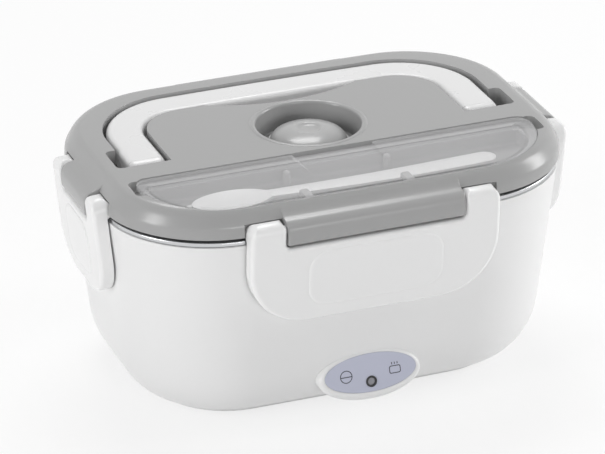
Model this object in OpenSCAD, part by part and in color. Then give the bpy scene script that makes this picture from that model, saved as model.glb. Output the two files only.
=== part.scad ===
// Electric lunch box: a heated plastic case with a lift-out steel container and a clip-on lid.
// The lid carries four latches, a carrying handle, a steam valve and a covered cutlery compartment.
// Millimetres. +X runs along the long side, -Y is the front with the control pod, +Z is up.
// The origin is on the table, under the middle of the box.

/* [Case] */
// Length of the case at its rim
case_l = 209; // [200:1:220]
// Width of the case at its rim
case_w = 145; // [140:1:152]
// Height of the rim of the case above the table
case_h = 93; // [90:1:105]
// Corner radius of the case at its rim, seen from above
case_r = 48; // [42:1:52]
// How far each wall leans in from the rim down to the table
case_lean = 8.5; // [6:0.5:10]
// How far the long sides bow out in the middle
side_bow = 1.3; // [0:0.1:2]
// Wall thickness of the case
case_t = 2.4; // [2:0.1:2.8]
// Height of the rounding at the foot of the wall
foot_round_h = 23; // [18:1:26]
// Depth of the rounding at the foot of the wall
foot_round_d = 15.5; // [13:0.5:17]

/* [Base] */
// Thickness of the base cover
base_t = 2.4; // [2:0.1:3]
// How far the rubber feet stand out under the base cover
foot_h = 1; // [0.6:0.1:2]
// Radius of a rubber foot
foot_r = 6; // [5:0.5:7]
// Distance of a foot from the middle, along the box
foot_x = 62; // [58:1:64]
// Distance of a foot from the middle, across the box
foot_y = 30; // [26:1:32]
// Distance of a base screw from the middle, along the box
screw_x = 72.5; // [71.5:0.5:73]
// Distance of a base screw from the middle, across the box
screw_y = 16; // [12:1:18]
// Radius of the shank of a base screw
screw_r = 1.5; // [1.2:0.1:1.6]

/* [Heater] */
// Length of the heat plate
plate_l = 140; // [136:1:142]
// Width of the heat plate
plate_w = 88; // [84:1:90]
// Thickness of the heat plate
plate_t = 3; // [2:0.5:4]
// Height of the underside of the heat plate above the table
plate_z = 22; // [21:0.5:24]
// Length of the heating block
heater_l = 42; // [36:1:46]
// Width of the heating block
heater_w = 20; // [16:1:24]
// Height of the heating block
heater_h = 5; // [4:0.5:6]

/* [Container] */
// Thickness of the steel sheet
steel_t = 0.8; // [0.6:0.1:1]
// Width of the rim of the container
rim_w = 9; // [8:0.5:9.5]
// Height of the rolled edge of the rim
rim_h = 2; // [1.8:0.1:2.4]
// How far the walls of the container lean in from rim to floor
container_lean = 5; // [3:0.5:6]
// Radius between the walls and the floor of the container
container_fillet = 12; // [10:1:14]
// Gap between the container and the liner
container_gap = 1.2; // [0.8:0.1:1.4]
// Wall thickness of the liner
liner_t = 1.8; // [1.5:0.1:2]

/* [Lid] */
// How far the lid stands out over the case on each side
lid_over = 1; // [0.8:0.1:1.4]
// Gap between the steel rim and the lid
lid_gap = 0.8; // [0.6:0.1:1.2]
// Height of the lid
lid_h = 13.5; // [13:0.5:16]
// Thickness of the top of the lid
lid_t = 2.2; // [1.8:0.1:2.4]
// Thickness of the inner panel of the lid
panel_t = 1.8; // [1.4:0.1:1.8]
// Radius of the well round the steam valve
well_r = 23.2; // [22:0.1:23.6]
// Position of the well across the box
well_y = 3.4; // [2.4:0.2:4]
// Radius of the dome of the steam valve
dome_r = 16.5; // [14:0.5:17.5]

/* [Cutlery compartment] */
// Length of the cutlery cover
cover_l = 184; // [180:1:185]
// Straight rear edge of the cutlery cover, in front of the middle of the box
cover_rear = 25; // [24.6:0.2:27]
// Front edge of the cutlery cover, in front of the middle of the box
cover_front = 68.2; // [67:0.2:68.4]
// Thickness of the cutlery cover
cover_t = 2; // [1.6:0.1:2.2]
// Radius of the front corners of the cutlery cover
cover_r = 36; // [30:1:37]
// Width of the ledge that the cutlery cover lies on
ledge_w = 3.6; // [3:0.1:3.9]
// Length of the spoon and of the fork
cutlery_l = 136; // [128:1:138]

/* [Handle] */
// Length of the handle over its two arms
handle_l = 174.4; // [172:0.4:176]
// How far the handle reaches behind the middle of the box
handle_rear = 58; // [57:0.2:58.4]
// Width of the bar of the handle
handle_w = 16.8; // [15.4:0.2:17]
// Height of the bar of the handle
handle_t = 9; // [8.6:0.1:9.2]
// Radius of the handle's pivot pins
handle_pin_r = 2.4; // [2:0.1:2.8]
// Position of the handle's pivot across the box
handle_pivot_y = -4.5; // [-5:0.1:-3.5]

/* [Latches] */
// Width of the front and back latches
latch_w = 115; // [110:1:118]
// Width of the left and right latches
side_latch_w = 58; // [54:1:60]
// Length of the lid's front and back tongues
tongue_l = 81.8; // [78:0.2:84]
// Length of the lid's left and right tongues
side_tongue_l = 34; // [32:0.2:36]
// How far the latches reach below their pivot
latch_h = 45; // [42:1:46]
// Radius of the rounded lower corners of the front and back latches
latch_corner_r = 27; // [22:1:29]
// Radius of the knuckle at the top of a latch
knuckle_r = 4.5; // [4.2:0.1:4.6]
// Thickness of the wall of a latch
latch_t = 2.2; // [1.8:0.1:2.4]
// Radius of the pegs that a latch turns on
peg_r = 2; // [1.6:0.1:2.2]

/* [Pods] */
// Half of the length of the oval pods
pod_a = 24; // [22:0.5:26]
// Half of the height of the oval pods
pod_b = 11.2; // [10.5:0.1:12]
// Distance of the middle of a pod's face from the middle of the box
pod_y = 70; // [69:0.5:71.5]
// Height of the middle of a pod above the table
pod_z = 19; // [18.5:0.5:20]
// How far a pod's face leans back
pod_tilt = 15; // [8:1:16]

/* [Hidden] */

white = [0.95, 0.95, 0.95];
grey = [0.66, 0.66, 0.67];
clear = [0.85, 0.88, 0.9, 0.35];
steel = [0.78, 0.78, 0.8];
black = [0.1, 0.1, 0.1];
lavender = [0.72, 0.73, 0.8];

// Clearances between pieces
seat = 0.1;
run = 0.06;
slip = 0.4;

// Steps per corner and per straight side of an outline
corner_steps = 12;
side_steps = 4;
round_steps = 6;

// Heights that follow from the sizes above
base_top = foot_h + base_t;
flange_z = case_h + 2*seat;
flange_top = flange_z + rim_h;
lid_z = flange_top + lid_gap;
lid_top = lid_z + lid_h;
panel_top = lid_z - lid_gap;
container_z = plate_z + plate_t + 3*seat;

// Outline of the lid, from which its parts are inset
lid_l = case_l + 2*lid_over;
lid_w = case_w + 2*lid_over;
lid_r = case_r + lid_over;

// Steel rim and seal: insets from the outline of the case
rim_edge = 0.3;
mouth_in = rim_edge + rim_w;
seal_out = 5.3;
seal_in = mouth_in + lid_over;
core_in = seal_in + 0.3;
core_t = 1.8;

// Latch pivots, seen from the lid
pivot_out = 1.9;
pivot_z = lid_z + 3;
tilt = atan(case_lean/case_h);
wall_gap = 0.45;
neck = knuckle_r + 3.1;
ear_gap = 0.4;
peg_l = 5;
hook_z = -20;
hook_h = 3;
hook_end = 0.2;
catch_h = 3.7;
catch_end = 0.6;
// The backs of the latches stay outside the mouth of the case, so that the lid lifts straight up
lift_back = pivot_out + lid_over - 0.2;
catch_back = pivot_out + 0.15;

// Handle
handle_z = lid_top - 0.5;
handle_r = 37;
handle_boss_r = 5.5;
handle_edge = 2.6;
channel_gap = 1;
pin_reach = 10.2;
pocket_w = 6.8;

// Valve well and compartment
well_floor = lid_z + 1.5;
valve_lift_space = 4.5;
cavity_floor = lid_z + 2;
ledge_z = lid_top - cover_t - 0.5;
cover_z = ledge_z + 2*seat;
post_x = 23.5;

// ---------- Outlines and skins ----------

// Rounded rectangle, l by w with corner radius r, whose sides bow out to the full size in the middle
function outline(l, w, r, bow = side_bow) =
    let (flat = [for (q = [0:3])
        let (sx = (q == 0 || q == 3) ? 1 : -1,
             sy = q < 2 ? 1 : -1,
             c = [sx*(l/2 - r), sy*(w/2 - r)],
             arc = [for (k = [0:corner_steps])
                 let (a = 90*(q + k/corner_steps)) c + r*[cos(a), sin(a)]],
             last = arc[corner_steps],
             next = (q % 2 == 0) ? [-last.x, last.y] : [last.x, -last.y],
             side = [for (k = [1:side_steps - 1]) last + (next - last)*k/side_steps])
        each concat(arc, side)])
    [for (p = flat)
        [p.x*(1 - 1.2*bow/l*pow(2*p.y/w, 2)), p.y*(1 - 2*bow/w*pow(2*p.x/l, 2))]];

// A ring of 3-D points: the outline at height z
function level(points, z) = [for (p = points) [p.x, p.y, z]];

// The case outline drawn in by inset, at height z, its corner radius reduced by cut
function case_level(inset, z, cut) =
    level(outline(case_l - 2*inset, case_w - 2*inset, case_r - cut), z);

// The lid outline drawn in by inset
function lid_outline(inset) = outline(lid_l - 2*inset, lid_w - 2*inset, lid_r - inset);

// How far the case's wall stands in from its rim at height z
function lean(z) = case_lean*(case_h - z)/case_h;
function foot_rounding(z) =
    let (w = max(0, min(1, (foot_round_h - (z - base_top))/foot_round_h)))
    foot_round_d*(1 - sqrt(1 - w*w));

// Heights at which the wall of the case is drawn, closest together where it curves
case_heights = [for (k = [0:round_steps]) base_top + foot_round_h*(1 - cos(90*k/round_steps)), case_h];

// Solid over a stack of rings with equally many points; closed joins the last ring to the first
module skin(rings, closed = false) {
    n = len(rings[0]);
    m = len(rings);
    sides = [for (i = [0:m - (closed ? 1 : 2)]) for (j = [0:n - 1])
        let (k = (j + 1) % n, i2 = (i + 1) % m)
        each [[i*n + j, i2*n + j, i2*n + k], [i*n + j, i2*n + k, i*n + k]]];
    caps = closed ? [] : [[for (j = [0:n - 1]) j], [for (j = [n - 1:-1:0]) (m - 1)*n + j]];
    polyhedron(points = [for (r = rings) each r], faces = concat(sides, caps), convexity = 8);
}

// Upright wall over an outline
module wall(points, z0, z1) {
    translate([0, 0, z0])
        linear_extrude(z1 - z0)
            polygon(points);
}

// Ellipse with half axes a and b
function ellipse(a, b, steps = 48) = [for (k = [0:steps - 1]) [a*cos(360*k/steps), b*sin(360*k/steps)]];

// Rectangle with round corners, its middle at the origin
module rounded_rect(l, w, r) {
    square([l - 2*r, w], center = true);
    square([l, w - 2*r], center = true);
    for (x = [-1, 1], y = [-1, 1])
        translate([x*(l/2 - r), y*(w/2 - r)])
            circle(r, $fn = 32);
}

// Slot with round ends, l long and w wide
module stadium(l, w) {
    square([l - w, w], center = true);
    for (x = [-1, 1])
        translate([x*(l - w)/2, 0])
            circle(w/2, $fn = 32);
}

// Rod along X between x0 and x1
module rod(r, x0, x1) {
    translate([x0, 0, 0])
        rotate([0, 90, 0])
            cylinder(r = r, h = x1 - x0, $fn = 48);
}

// ---------- Places ----------

// Frame of the latch on the side that faces the angle: X along the pivot, Z up, outside at -Y
module at_pivot(side) {
    half = side % 180 == 0 ? lid_w/2 : lid_l/2;
    rotate(side)
        translate([0, -half - pivot_out, pivot_z])
            children();
}

// The same frame, leaning with the wall of the case
module at_latch(side) {
    at_pivot(side)
        rotate([tilt, 0, 0])
            children();
}

// Frame on the face of the pod on the side that faces the angle; +Y leads into the case
module at_pod(side) {
    rotate(side)
        translate([0, -pod_y, pod_z])
            rotate([-pod_tilt, 0, 0])
                children();
}

// Upright plate in a pod's frame: the children's drawing, from y0 to y1
module plate_in_pod(y0, y1) {
    translate([0, y1, 0])
        rotate([90, 0, 0])
            linear_extrude(y1 - y0)
                children();
}

module mirrored() {
    children();
    mirror([1, 0, 0])
        children();
}

// A point in the frame of the pod on the given side
function pod_point(side, p) =
    let (s = side == 0 ? 1 : -1,
         y = -pod_y + p.y*cos(pod_tilt) + p.z*sin(pod_tilt))
    [s*p.x, s*y, pod_z - p.y*sin(pod_tilt) + p.z*cos(pod_tilt)];

// Body of a pod, drawn in by inset: an oval that runs level into the case behind the leaning face
module pod_block(side, inset) {
    ring = [for (p = ellipse(pod_a - inset, pod_b - inset)) pod_point(0, [p.x, inset, -p.y])];
    rotate(side)
        skin([ring, [for (p = ring) p + [0, 2*foot_round_d, 0]]]);
}

function latch_width(side) = side % 180 == 0 ? latch_w : side_latch_w;
function tongue_length(side) = side % 180 == 0 ? tongue_l : side_tongue_l;
function corner_radius(side) = latch_corner_r*min(1, latch_width(side)/latch_w*1.5);
sides = [0, 90, 180, 270];

// ---------- Case ----------

function case_rings(t) = [for (z = case_heights)
    case_level(lean(z) + foot_rounding(z) + t, z, foot_rounding(z) + t)];

module case_shell() {
    color(white) {
        difference() {
            union() {
                skin(case_rings(0));
                for (side = [0, 180])
                    pod_block(side, 0);
            }
            case_inside();
            for (side = [0, 180])
                pod_block(side, case_t);
            at_pod(0)
                label_seat();
            at_pod(180)
                plate_in_pod(-1, case_t + 1)
                    stadium(inlet_l + slip, inlet_w + slip);
        }
        for (side = sides)
            at_latch(side)
                catch_rib(catch_length(side));
    }
}

// Room inside the case, with the ledge near the rim that the liner hangs on
ledge_in = 4.4;
lip_t = 1.2;
liner_rim = 2;
module case_inside() {
    ledge_top = case_h - liner_rim;
    inner = [for (z = case_heights)
        if (z < case_h) case_level(lean(z) + foot_rounding(z) + case_t, z, foot_rounding(z) + case_t)];
    floor_ring = case_level(lean(base_top) + foot_round_d + case_t, base_top - 1, foot_round_d + case_t);
    skin(concat([floor_ring], inner, [
        case_level(case_t + lean(ledge_top - 4), ledge_top - 4, case_t),
        case_level(ledge_in, ledge_top - 1.5, ledge_in),
        case_level(ledge_in, ledge_top, ledge_in),
        case_level(lip_t, ledge_top + 0.01, lip_t),
        case_level(lip_t, case_h + 1, lip_t)]));
}

// Rib on the case that a latch hooks under
function catch_length(side) = latch_width(side)*0.42;
module catch_rib(l) {
    top = hook_z + seat*3 + catch_h;
    rotate([90, 0, 90])
        translate([0, 0, -l/2])
            linear_extrude(l)
                polygon([[catch_end, top - catch_h], [catch_end, top - catch_h/2],
                    [pivot_out + wall_gap, top + 1], [pivot_out + wall_gap + 1.2, top + 1],
                    [pivot_out + wall_gap + 1.2, top - catch_h]]);
}

base_in = lean(base_top) + foot_round_d;
function base_outline(inset) =
    outline(case_l - 2*base_in - 2*inset, case_w - 2*base_in - 2*inset, case_r - foot_round_d - inset);

module base_cover() {
    upstand = case_t + 3*seat;
    color(white)
        difference() {
            union() {
                wall(base_outline(0), foot_h, base_top - seat/2);
                difference() {
                    wall(base_outline(upstand), foot_h + seat, base_top + 3);
                    wall(base_outline(upstand + 1.6), base_top - seat/2, base_top + 4);
                }
            }
            for (x = [-foot_x, foot_x], y = [-foot_y, foot_y])
                translate([x, y, foot_h - 1])
                    cylinder(r = foot_r + 2*seat, h = 1 + base_t/2, $fn = 48);
            for (x = [-screw_x, screw_x], y = [-screw_y, screw_y])
                translate([x, y, 0]) {
                    cylinder(r = screw_r + 2*seat, h = base_top + 1, $fn = 32);
                    cylinder(r = 2*screw_r + 2*seat, h = foot_h + base_t/2, $fn = 32);
                }
            for (x = [-1, 1], k = [-3:3])
                translate([x*plate_l/5, k*base_t*2.2, 0])
                    linear_extrude(base_top + 1)
                        stadium(22, base_t);
        }
}

module feet() {
    color([0.35, 0.35, 0.36])
        for (x = [-foot_x, foot_x], y = [-foot_y, foot_y])
            translate([x, y, 0]) {
                cylinder(r1 = foot_r - 0.6, r2 = foot_r, h = 0.6, $fn = 48);
                translate([0, 0, 0.6])
                    cylinder(r = foot_r, h = foot_h - 0.6 + base_t/2 - seat, $fn = 48);
            }
}

boss_r = 3.4;
boss_z = base_top + 2*seat;
module base_screws() {
    head_z = foot_h + base_t/2;
    color(steel)
        for (x = [-screw_x, screw_x], y = [-screw_y, screw_y])
            translate([x, y, 0])
                difference() {
                    union() {
                        translate([0, 0, foot_h + 2*seat])
                            cylinder(r = 2*screw_r, h = head_z - foot_h - 3*seat, $fn = 32);
                        translate([0, 0, foot_h + 2*seat])
                            cylinder(r = screw_r, h = 12, $fn = 32);
                    }
                    for (a = [0, 90])
                        rotate(a)
                            translate([-screw_r, -0.35, foot_h])
                                cube([2*screw_r, 0.7, 0.8]);
                }
}

// ---------- Liner, heater and container ----------

// Inset of the outer face of the container's wall at height z
function container_in(z) =
    mouth_in - steel_t + container_lean*(flange_z - z)/(flange_z - container_z);

// Rings round a floor fillet: the wall's face is inset, the floor is at z0
function fillet_rings(grow, r, z0, up) =
    [for (k = up ? [0:round_steps] : [round_steps:-1:0])
        let (a = 90*k/round_steps,
             z = z0 + r*(1 - cos(a)),
             i = container_in(z) + grow + r*(1 - sin(a)))
        case_level(i, z, mouth_in + grow + r*(1 - sin(a)))];

lap = 4;
opening = outline(plate_l - 2*lap, plate_w - 2*lap, case_r/2, 0);

module inner_liner() {
    inner = -container_gap;
    outer = -container_gap - liner_t;
    rim_z = case_h - liner_rim + seat;
    r_in = container_fillet;
    r_out = container_fillet + liner_t;
    color(white) {
        skin(concat(
            [level(opening, plate_z - seat), level(opening, plate_z - seat - liner_t)],
            fillet_rings(outer, r_out, plate_z - seat - liner_t, true),
            [case_level(container_in(rim_z) + outer, rim_z, mouth_in + outer),
             case_level(lip_t + seat, rim_z, lip_t + seat),
             case_level(lip_t + seat, case_h, lip_t + seat),
             case_level(container_in(case_h) + inner, case_h, mouth_in + inner)],
            fillet_rings(inner, r_in, plate_z - seat, false)), closed = true);
        for (x = [-screw_x, screw_x], y = [-screw_y, screw_y])
            translate([x, y, 0])
                screw_boss();
    }
}

module screw_boss() {
    top = plate_z - seat - liner_t + 0.4;
    difference() {
        translate([0, 0, boss_z])
            cylinder(r = boss_r, h = top - boss_z, $fn = 32);
        translate([0, 0, boss_z - 1])
            cylinder(r = screw_r + seat, h = 12.5, $fn = 32);
    }
}

stud_x = heater_l/2 + 9;
stud_r = 3;
module heat_plate() {
    color(steel) {
        wall(outline(plate_l, plate_w, case_r/2 + lap, 0), plate_z, plate_z + plate_t);
        for (x = [-stud_x, stud_x])
            translate([x, 0, 0])
                difference() {
                    translate([0, 0, plate_z - heater_h])
                        cylinder(r = stud_r, h = heater_h + plate_t/2, $fn = 32);
                    translate([0, 0, plate_z - heater_h - 1])
                        cylinder(r = screw_r + seat, h = heater_h + 1, $fn = 32);
                }
    }
}

module ptc_heater() {
    color([0.85, 0.82, 0.75])
        translate([-heater_l/2, -heater_w/2, plate_z - heater_h])
            cube([heater_l, heater_w, heater_h - seat]);
}

strap_t = 1.2;
module heater_clamp() {
    color(steel)
        difference() {
            translate([0, 0, plate_z - heater_h - seat - strap_t])
                linear_extrude(strap_t)
                    rounded_rect(2*stud_x + 12, 12, 2);
            for (x = [-stud_x, stud_x])
                translate([x, 0, 0])
                    cylinder(r = screw_r + 2*seat, h = plate_z, $fn = 32);
        }
}

module clamp_screws() {
    under = plate_z - heater_h - 2*seat - strap_t;
    color(steel)
        for (x = [-stud_x, stud_x])
            translate([x, 0, under]) {
                translate([0, 0, -1.6])
                    cylinder(r = 2*screw_r, h = 1.6, $fn = 32);
                cylinder(r = screw_r, h = heater_h, $fn = 32);
            }
}

thermostat_r = 8;
thermostat_y = plate_w/2 - lap - thermostat_r - 3;
module thermostat() {
    color(black)
        translate([0, thermostat_y, plate_z - seat]) {
            translate([0, 0, -4])
                cylinder(r = thermostat_r, h = 4, $fn = 48);
            translate([0, 0, -7])
                cylinder(r = thermostat_r - 1.5, h = 4, $fn = 48);
            for (x = [-3, 3])
                translate([x - 0.4, -2.5, -11])
                    cube([0.8, 5, 5]);
        }
}

fuse_r = 2;
fuse_lead = 9;
fuse_y = -heater_w/2 - 8;
module thermal_fuse() {
    color([0.8, 0.75, 0.6])
        translate([0, fuse_y, plate_z - seat - fuse_r]) {
            rod(fuse_r, -6, 6);
            rod(0.5, -fuse_lead, fuse_lead);
        }
}

// Insulated wire along a path of points, eight-sided
wire_r = 0.9;
function unit(v) = v/norm(v);
function wire_rings(path, i = 0, u = [0, 0, 1]) =
    i == len(path) ? [] :
    let (d = unit(path[min(i + 1, len(path) - 1)] - path[max(i - 1, 0)]),
         across = unit(u - d*(u*d)),
         up = cross(d, across))
    concat([[for (a = [0:45:315]) path[i] + wire_r*(across*cos(a) + up*sin(a))]],
        wire_rings(path, i + 1, across));

// Wires that run level near the base cover between the inlet, the fuse, the heater and the lamp
module lead_wires() {
    fuse_z = plate_z - seat - fuse_r;
    heater_z = plate_z - heater_h/2;
    low = base_top + 6;
    end_gap = 6*seat;
    leg = 4;
    wire_x = 14;
    outer_x = wire_x + leg;
    inlet_y = 30;
    lamp_y = 50;
    heater_edge = heater_w/2 + end_gap;
    fuse_end = fuse_lead + end_gap;
    tail = inlet_depth + pin_tail + end_gap;
    board_tail = board_y + board_t + end_gap;
    color([0.75, 0.2, 0.15]) {
        skin(wire_rings([pod_point(180, [inlet_pin_x, tail, 0]), [-wire_x, inlet_y, low],
            [-wire_x, -heater_edge, low], [-wire_x, fuse_y + leg, low + 1],
            [-fuse_end - leg, fuse_y, fuse_z], [-fuse_end, fuse_y, fuse_z]]));
        skin(wire_rings([[fuse_end, fuse_y, fuse_z], [fuse_end + leg, fuse_y, fuse_z],
            [outer_x, fuse_y + leg, heater_z], [outer_x, -heater_edge, heater_z]]));
        skin(wire_rings([pod_point(180, [-inlet_pin_x, tail, 0]), [wire_x, inlet_y, low],
            [outer_x, heater_edge + 3*leg, low], [outer_x, heater_edge + leg, heater_z],
            [outer_x, heater_edge, heater_z]]));
        skin(wire_rings([pod_point(0, [-6, board_tail, lamp_z/2]), [-8, -lamp_y, low],
            [-outer_x, -heater_edge - 5*leg, low], [-outer_x, -heater_edge - leg, heater_z],
            [-outer_x, -heater_edge, heater_z]]));
    }
}

function rim_levels() = [
    [mouth_in - steel_t, flange_top - steel_t], [rim_edge + 2.3, flange_top - steel_t],
    [rim_edge + 2.3, flange_z + 0.2], [rim_edge + 2, flange_z], [rim_edge + 0.6, flange_z],
    [rim_edge, flange_z + 0.6], [rim_edge, flange_top - 0.6], [rim_edge + 0.6, flange_top],
    [mouth_in - 0.5, flange_top], [mouth_in, flange_top - 0.5]];

module food_container() {
    outer_floor = container_z;
    inner_floor = container_z + steel_t;
    color(steel)
        skin(concat(
            fillet_rings(0, container_fillet, outer_floor, true),
            [for (p = rim_levels()) case_level(p[0], p[1], p[0])],
            fillet_rings(steel_t, container_fillet - steel_t, inner_floor, false)));
}

// ---------- Inlet, lamp and label ----------

inlet_l = 20;
inlet_w = 11;
inlet_depth = 11;
inlet_pin_x = 4.3;
inlet_pin_r = 1.2;
pin_shoulder = 0.3;
pin_tail = 3;
socket_depth = 8;

module power_inlet() {
    color(black)
        at_pod(180)
            difference() {
                union() {
                    plate_in_pod(0, inlet_depth)
                        stadium(inlet_l, inlet_w);
                    plate_in_pod(-1.3, -seat)
                        stadium(inlet_l + 5, inlet_w + 5);
                    plate_in_pod(-seat, 0)
                        stadium(inlet_l, inlet_w);
                }
                plate_in_pod(-2, socket_depth)
                    stadium(15.6, 7.2);
                for (x = [-inlet_pin_x, inlet_pin_x])
                    translate([x, 0, 0])
                        plate_in_pod(0, inlet_depth + 1)
                            circle(inlet_pin_r + pin_shoulder + seat/2, $fn = 24);
            }
}

module inlet_pins() {
    color([0.8, 0.7, 0.4])
        at_pod(180)
            for (x = [-inlet_pin_x, inlet_pin_x])
                translate([x, 0, 0]) {
                    plate_in_pod(1, socket_depth + seat)
                        circle(inlet_pin_r, $fn = 24);
                    plate_in_pod(socket_depth + seat, inlet_depth + pin_tail)
                        circle(inlet_pin_r + pin_shoulder, $fn = 24);
                }
}

lamp_z = -3;
lamp_r = 1.6;
bezel_r = 2.5;
label_t = 0.5;
label_up = 1;
label_a = pod_a - 2.6;
label_b = pod_b - 2.6;

module label_seat() {
    translate([0, 0, label_up])
        plate_in_pod(-1, label_t/2)
            polygon(ellipse(label_a + seat, label_b + seat));
    translate([0, 0, lamp_z])
        plate_in_pod(-1, case_t + 1)
            circle(bezel_r + seat, $fn = 32);
}

module control_label() {
    color(lavender)
        at_pod(0)
            difference() {
                translate([0, 0, label_up])
                    plate_in_pod(-label_t/2, label_t/2 - seat/2)
                        polygon(ellipse(label_a, label_b));
                translate([0, 0, lamp_z])
                    plate_in_pod(-1, 1)
                        circle(bezel_r + seat, $fn = 32);
            }
}

module led_bezel() {
    color(black)
        at_pod(0)
            translate([0, 0, lamp_z])
                plate_in_pod(-label_t, case_t - seat)
                    difference() {
                        circle(bezel_r, $fn = 32);
                        circle(lamp_r + seat, $fn = 32);
                    }
}

board_y = case_t + 1.2;
board_t = 1.2;
module indicator_led() {
    color([0.6, 0.6, 0.62])
        at_pod(0)
            translate([0, 0, lamp_z])
                plate_in_pod(0, board_y - seat)
                    circle(lamp_r, $fn = 32);
}

module indicator_board() {
    color([0.15, 0.4, 0.2])
        at_pod(0)
            translate([0, 0, lamp_z/2])
                plate_in_pod(board_y, board_y + board_t)
                    rounded_rect(26, 9, 1);
}

// ---------- Lid ----------

// Shoulder of the lid: inset and height of each ring, from the skirt to the flat top
shoulder = [[0, 0], [0.2, 3], [0.8, 6], [1.6, 8.5], [2.8, 10.8], [4.2, 12.3], [5.6, 13.1], [7, 13.5]];
module lid_block() {
    top = shoulder[len(shoulder) - 1][1];
    skin([for (s = shoulder)
        level(lid_outline(s[0]), lid_z + s[1]*lid_h/top)]);
}

// Outline of the cutlery cover, grown by g: straight at the rear, round at the front
cover_back_r = 6;
function arc(c, r, a0, steps = corner_steps) =
    [for (k = [0:steps]) c + r*[cos(a0 + 90*k/steps), sin(a0 + 90*k/steps)]];
function cover_outline(g) =
    let (x = cover_l/2, rb = cover_back_r,
         side = cover_front - cover_rear - rb,
         rf = min(cover_r, side - 0.5),
         front = [for (s = [0:2*side_steps]) [(x - rf)*(s/side_steps - 1), -cover_front - g]],
         rear_points = concat(
            arc([x - rb, -cover_rear - rb], rb + g, 0, 6),
            arc([-x + rb, -cover_rear - rb], rb + g, 90, 6)),
         front_points = concat(
            arc([-x + rf, -cover_front + rf], rf + g, 180),
            [for (k = [1:2*side_steps - 1]) front[k]],
            arc([x - rf, -cover_front + rf], rf + g, 270)))
    concat(rear_points,
        [for (p = front_points)
            [p.x, p.y + side_bow*pow(p.x/x, 2)*max(0, -p.y - cover_rear - rb)/side]]);

// Plan of the handle, grown by g
module handle_plan(g) {
    difference() {
        polygon(outline(handle_l + 2*g, 2*(handle_rear + g), handle_r + g));
        polygon(outline(handle_l - 2*(handle_w + g), 2*(handle_rear - handle_w - g),
            handle_r - handle_w - g));
        translate([-handle_l, -2*handle_l + handle_pivot_y - handle_boss_r - g])
            square([2*handle_l, 2*handle_l]);
    }
}

// Finger scoop: a cone that dips from the top of the lid to the floor of the handle's channel
scoop_half = 37;
scoop_front = 31;
scoop_slope = 5;
scoop_edge = handle_rear - handle_w - channel_gap;
scoop_r = (pow(scoop_half, 2) + pow(scoop_edge - scoop_front, 2))/(2*(scoop_edge - scoop_front));
channel_z = handle_z - handle_t - slip;
pocket_z = handle_z - 2*handle_boss_r - 0.6;

module finger_scoop(grow = 0) {
    reach = 0.5 + grow;
    intersection() {
        translate([0, scoop_front + scoop_r, channel_z])
            cylinder(r1 = scoop_r - scoop_slope + grow, r2 = scoop_r + grow + reach,
                h = (lid_top - channel_z)*(1 + reach/scoop_slope), $fn = 256);
        translate([-handle_l/2, 0, 0])
            cube([handle_l, scoop_edge + 1 + grow, 2*lid_top]);
    }
}

// Hole in the lid at each end of the handle, where the pin crosses to the wall
pocket_l = handle_w + channel_gap + pocket_w;
pocket_x = handle_l/2 + pocket_w - pocket_l/2;
pocket_front = handle_pivot_y - handle_boss_r - channel_gap;
pocket_rear = 8;
module end_pocket(g, z) {
    translate([pocket_x, (pocket_front + pocket_rear)/2, z])
        linear_extrude(lid_h*2)
            rounded_rect(pocket_l + 2*g, pocket_rear - pocket_front + 2*g, 1.5 + g);
}

tongue_out = knuckle_r - 0.2;
tongue_top = 4.8;
tongue_round = 4.2;
module tongue(l) {
    rotate([90, 0, 90])
        translate([0, 0, -l/2])
            linear_extrude(l) {
                translate([tongue_round - tongue_out, tongue_top - tongue_round])
                    circle(tongue_round, $fn = 64);
                translate([-tongue_out, -2.6])
                    square([tongue_out + pivot_out + 0.6, tongue_top - tongue_round + 2.6]);
                translate([tongue_round - tongue_out, 0])
                    square([tongue_out - tongue_round + pivot_out + 2.2, tongue_top]);
                translate([-tongue_out + 0.6, -knuckle_r - 0.9])
                    square([2, knuckle_r]);
                translate([-tongue_out + 1.6, -knuckle_r - 0.9])
                    circle(1, $fn = 32);
            }
}

// Room in the lid's skirt for the ears of a latch as they turn
module ear_relief(side) {
    at_pivot(side)
        mirrored()
            rod(knuckle_r + 0.5, tongue_length(side)/2, latch_width(side)/2 + 0.6);
}

module peg_bores(side) {
    at_pivot(side)
        mirrored()
            rod(peg_r + run, tongue_length(side)/2 - peg_l, tongue_length(side)/2 + 1);
}

// Room under the top of the lid, which leaves a floor of even thickness under each recess
module lid_hollow() {
    wall_t = lid_t - 0.2;
    difference() {
        wall(lid_outline(core_in + core_t), panel_top - 1, lid_top - lid_t);
        wall(cover_outline(slip + wall_t), ledge_z - wall_t, lid_top);
        wall(cover_outline(wall_t - ledge_w), cavity_floor - wall_t, lid_top);
        translate([0, 0, channel_z - wall_t])
            linear_extrude(lid_h)
                handle_plan(channel_gap + wall_t);
        mirrored()
            end_pocket(wall_t, pocket_z - wall_t);
        translate([0, well_y, well_floor - wall_t])
            cylinder(r = well_r + wall_t, h = lid_h, $fn = 96);
        translate([0, 0, -wall_t])
            finger_scoop(wall_t);
    }
}

thumb_w = 3.2;
module thumb_pocket() {
    translate([cover_l/2 - 2, -cover_rear - 9, ledge_z - 2.5])
        linear_extrude(lid_h)
            rounded_rect(2*thumb_w + 4, 15, 3);
}

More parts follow.
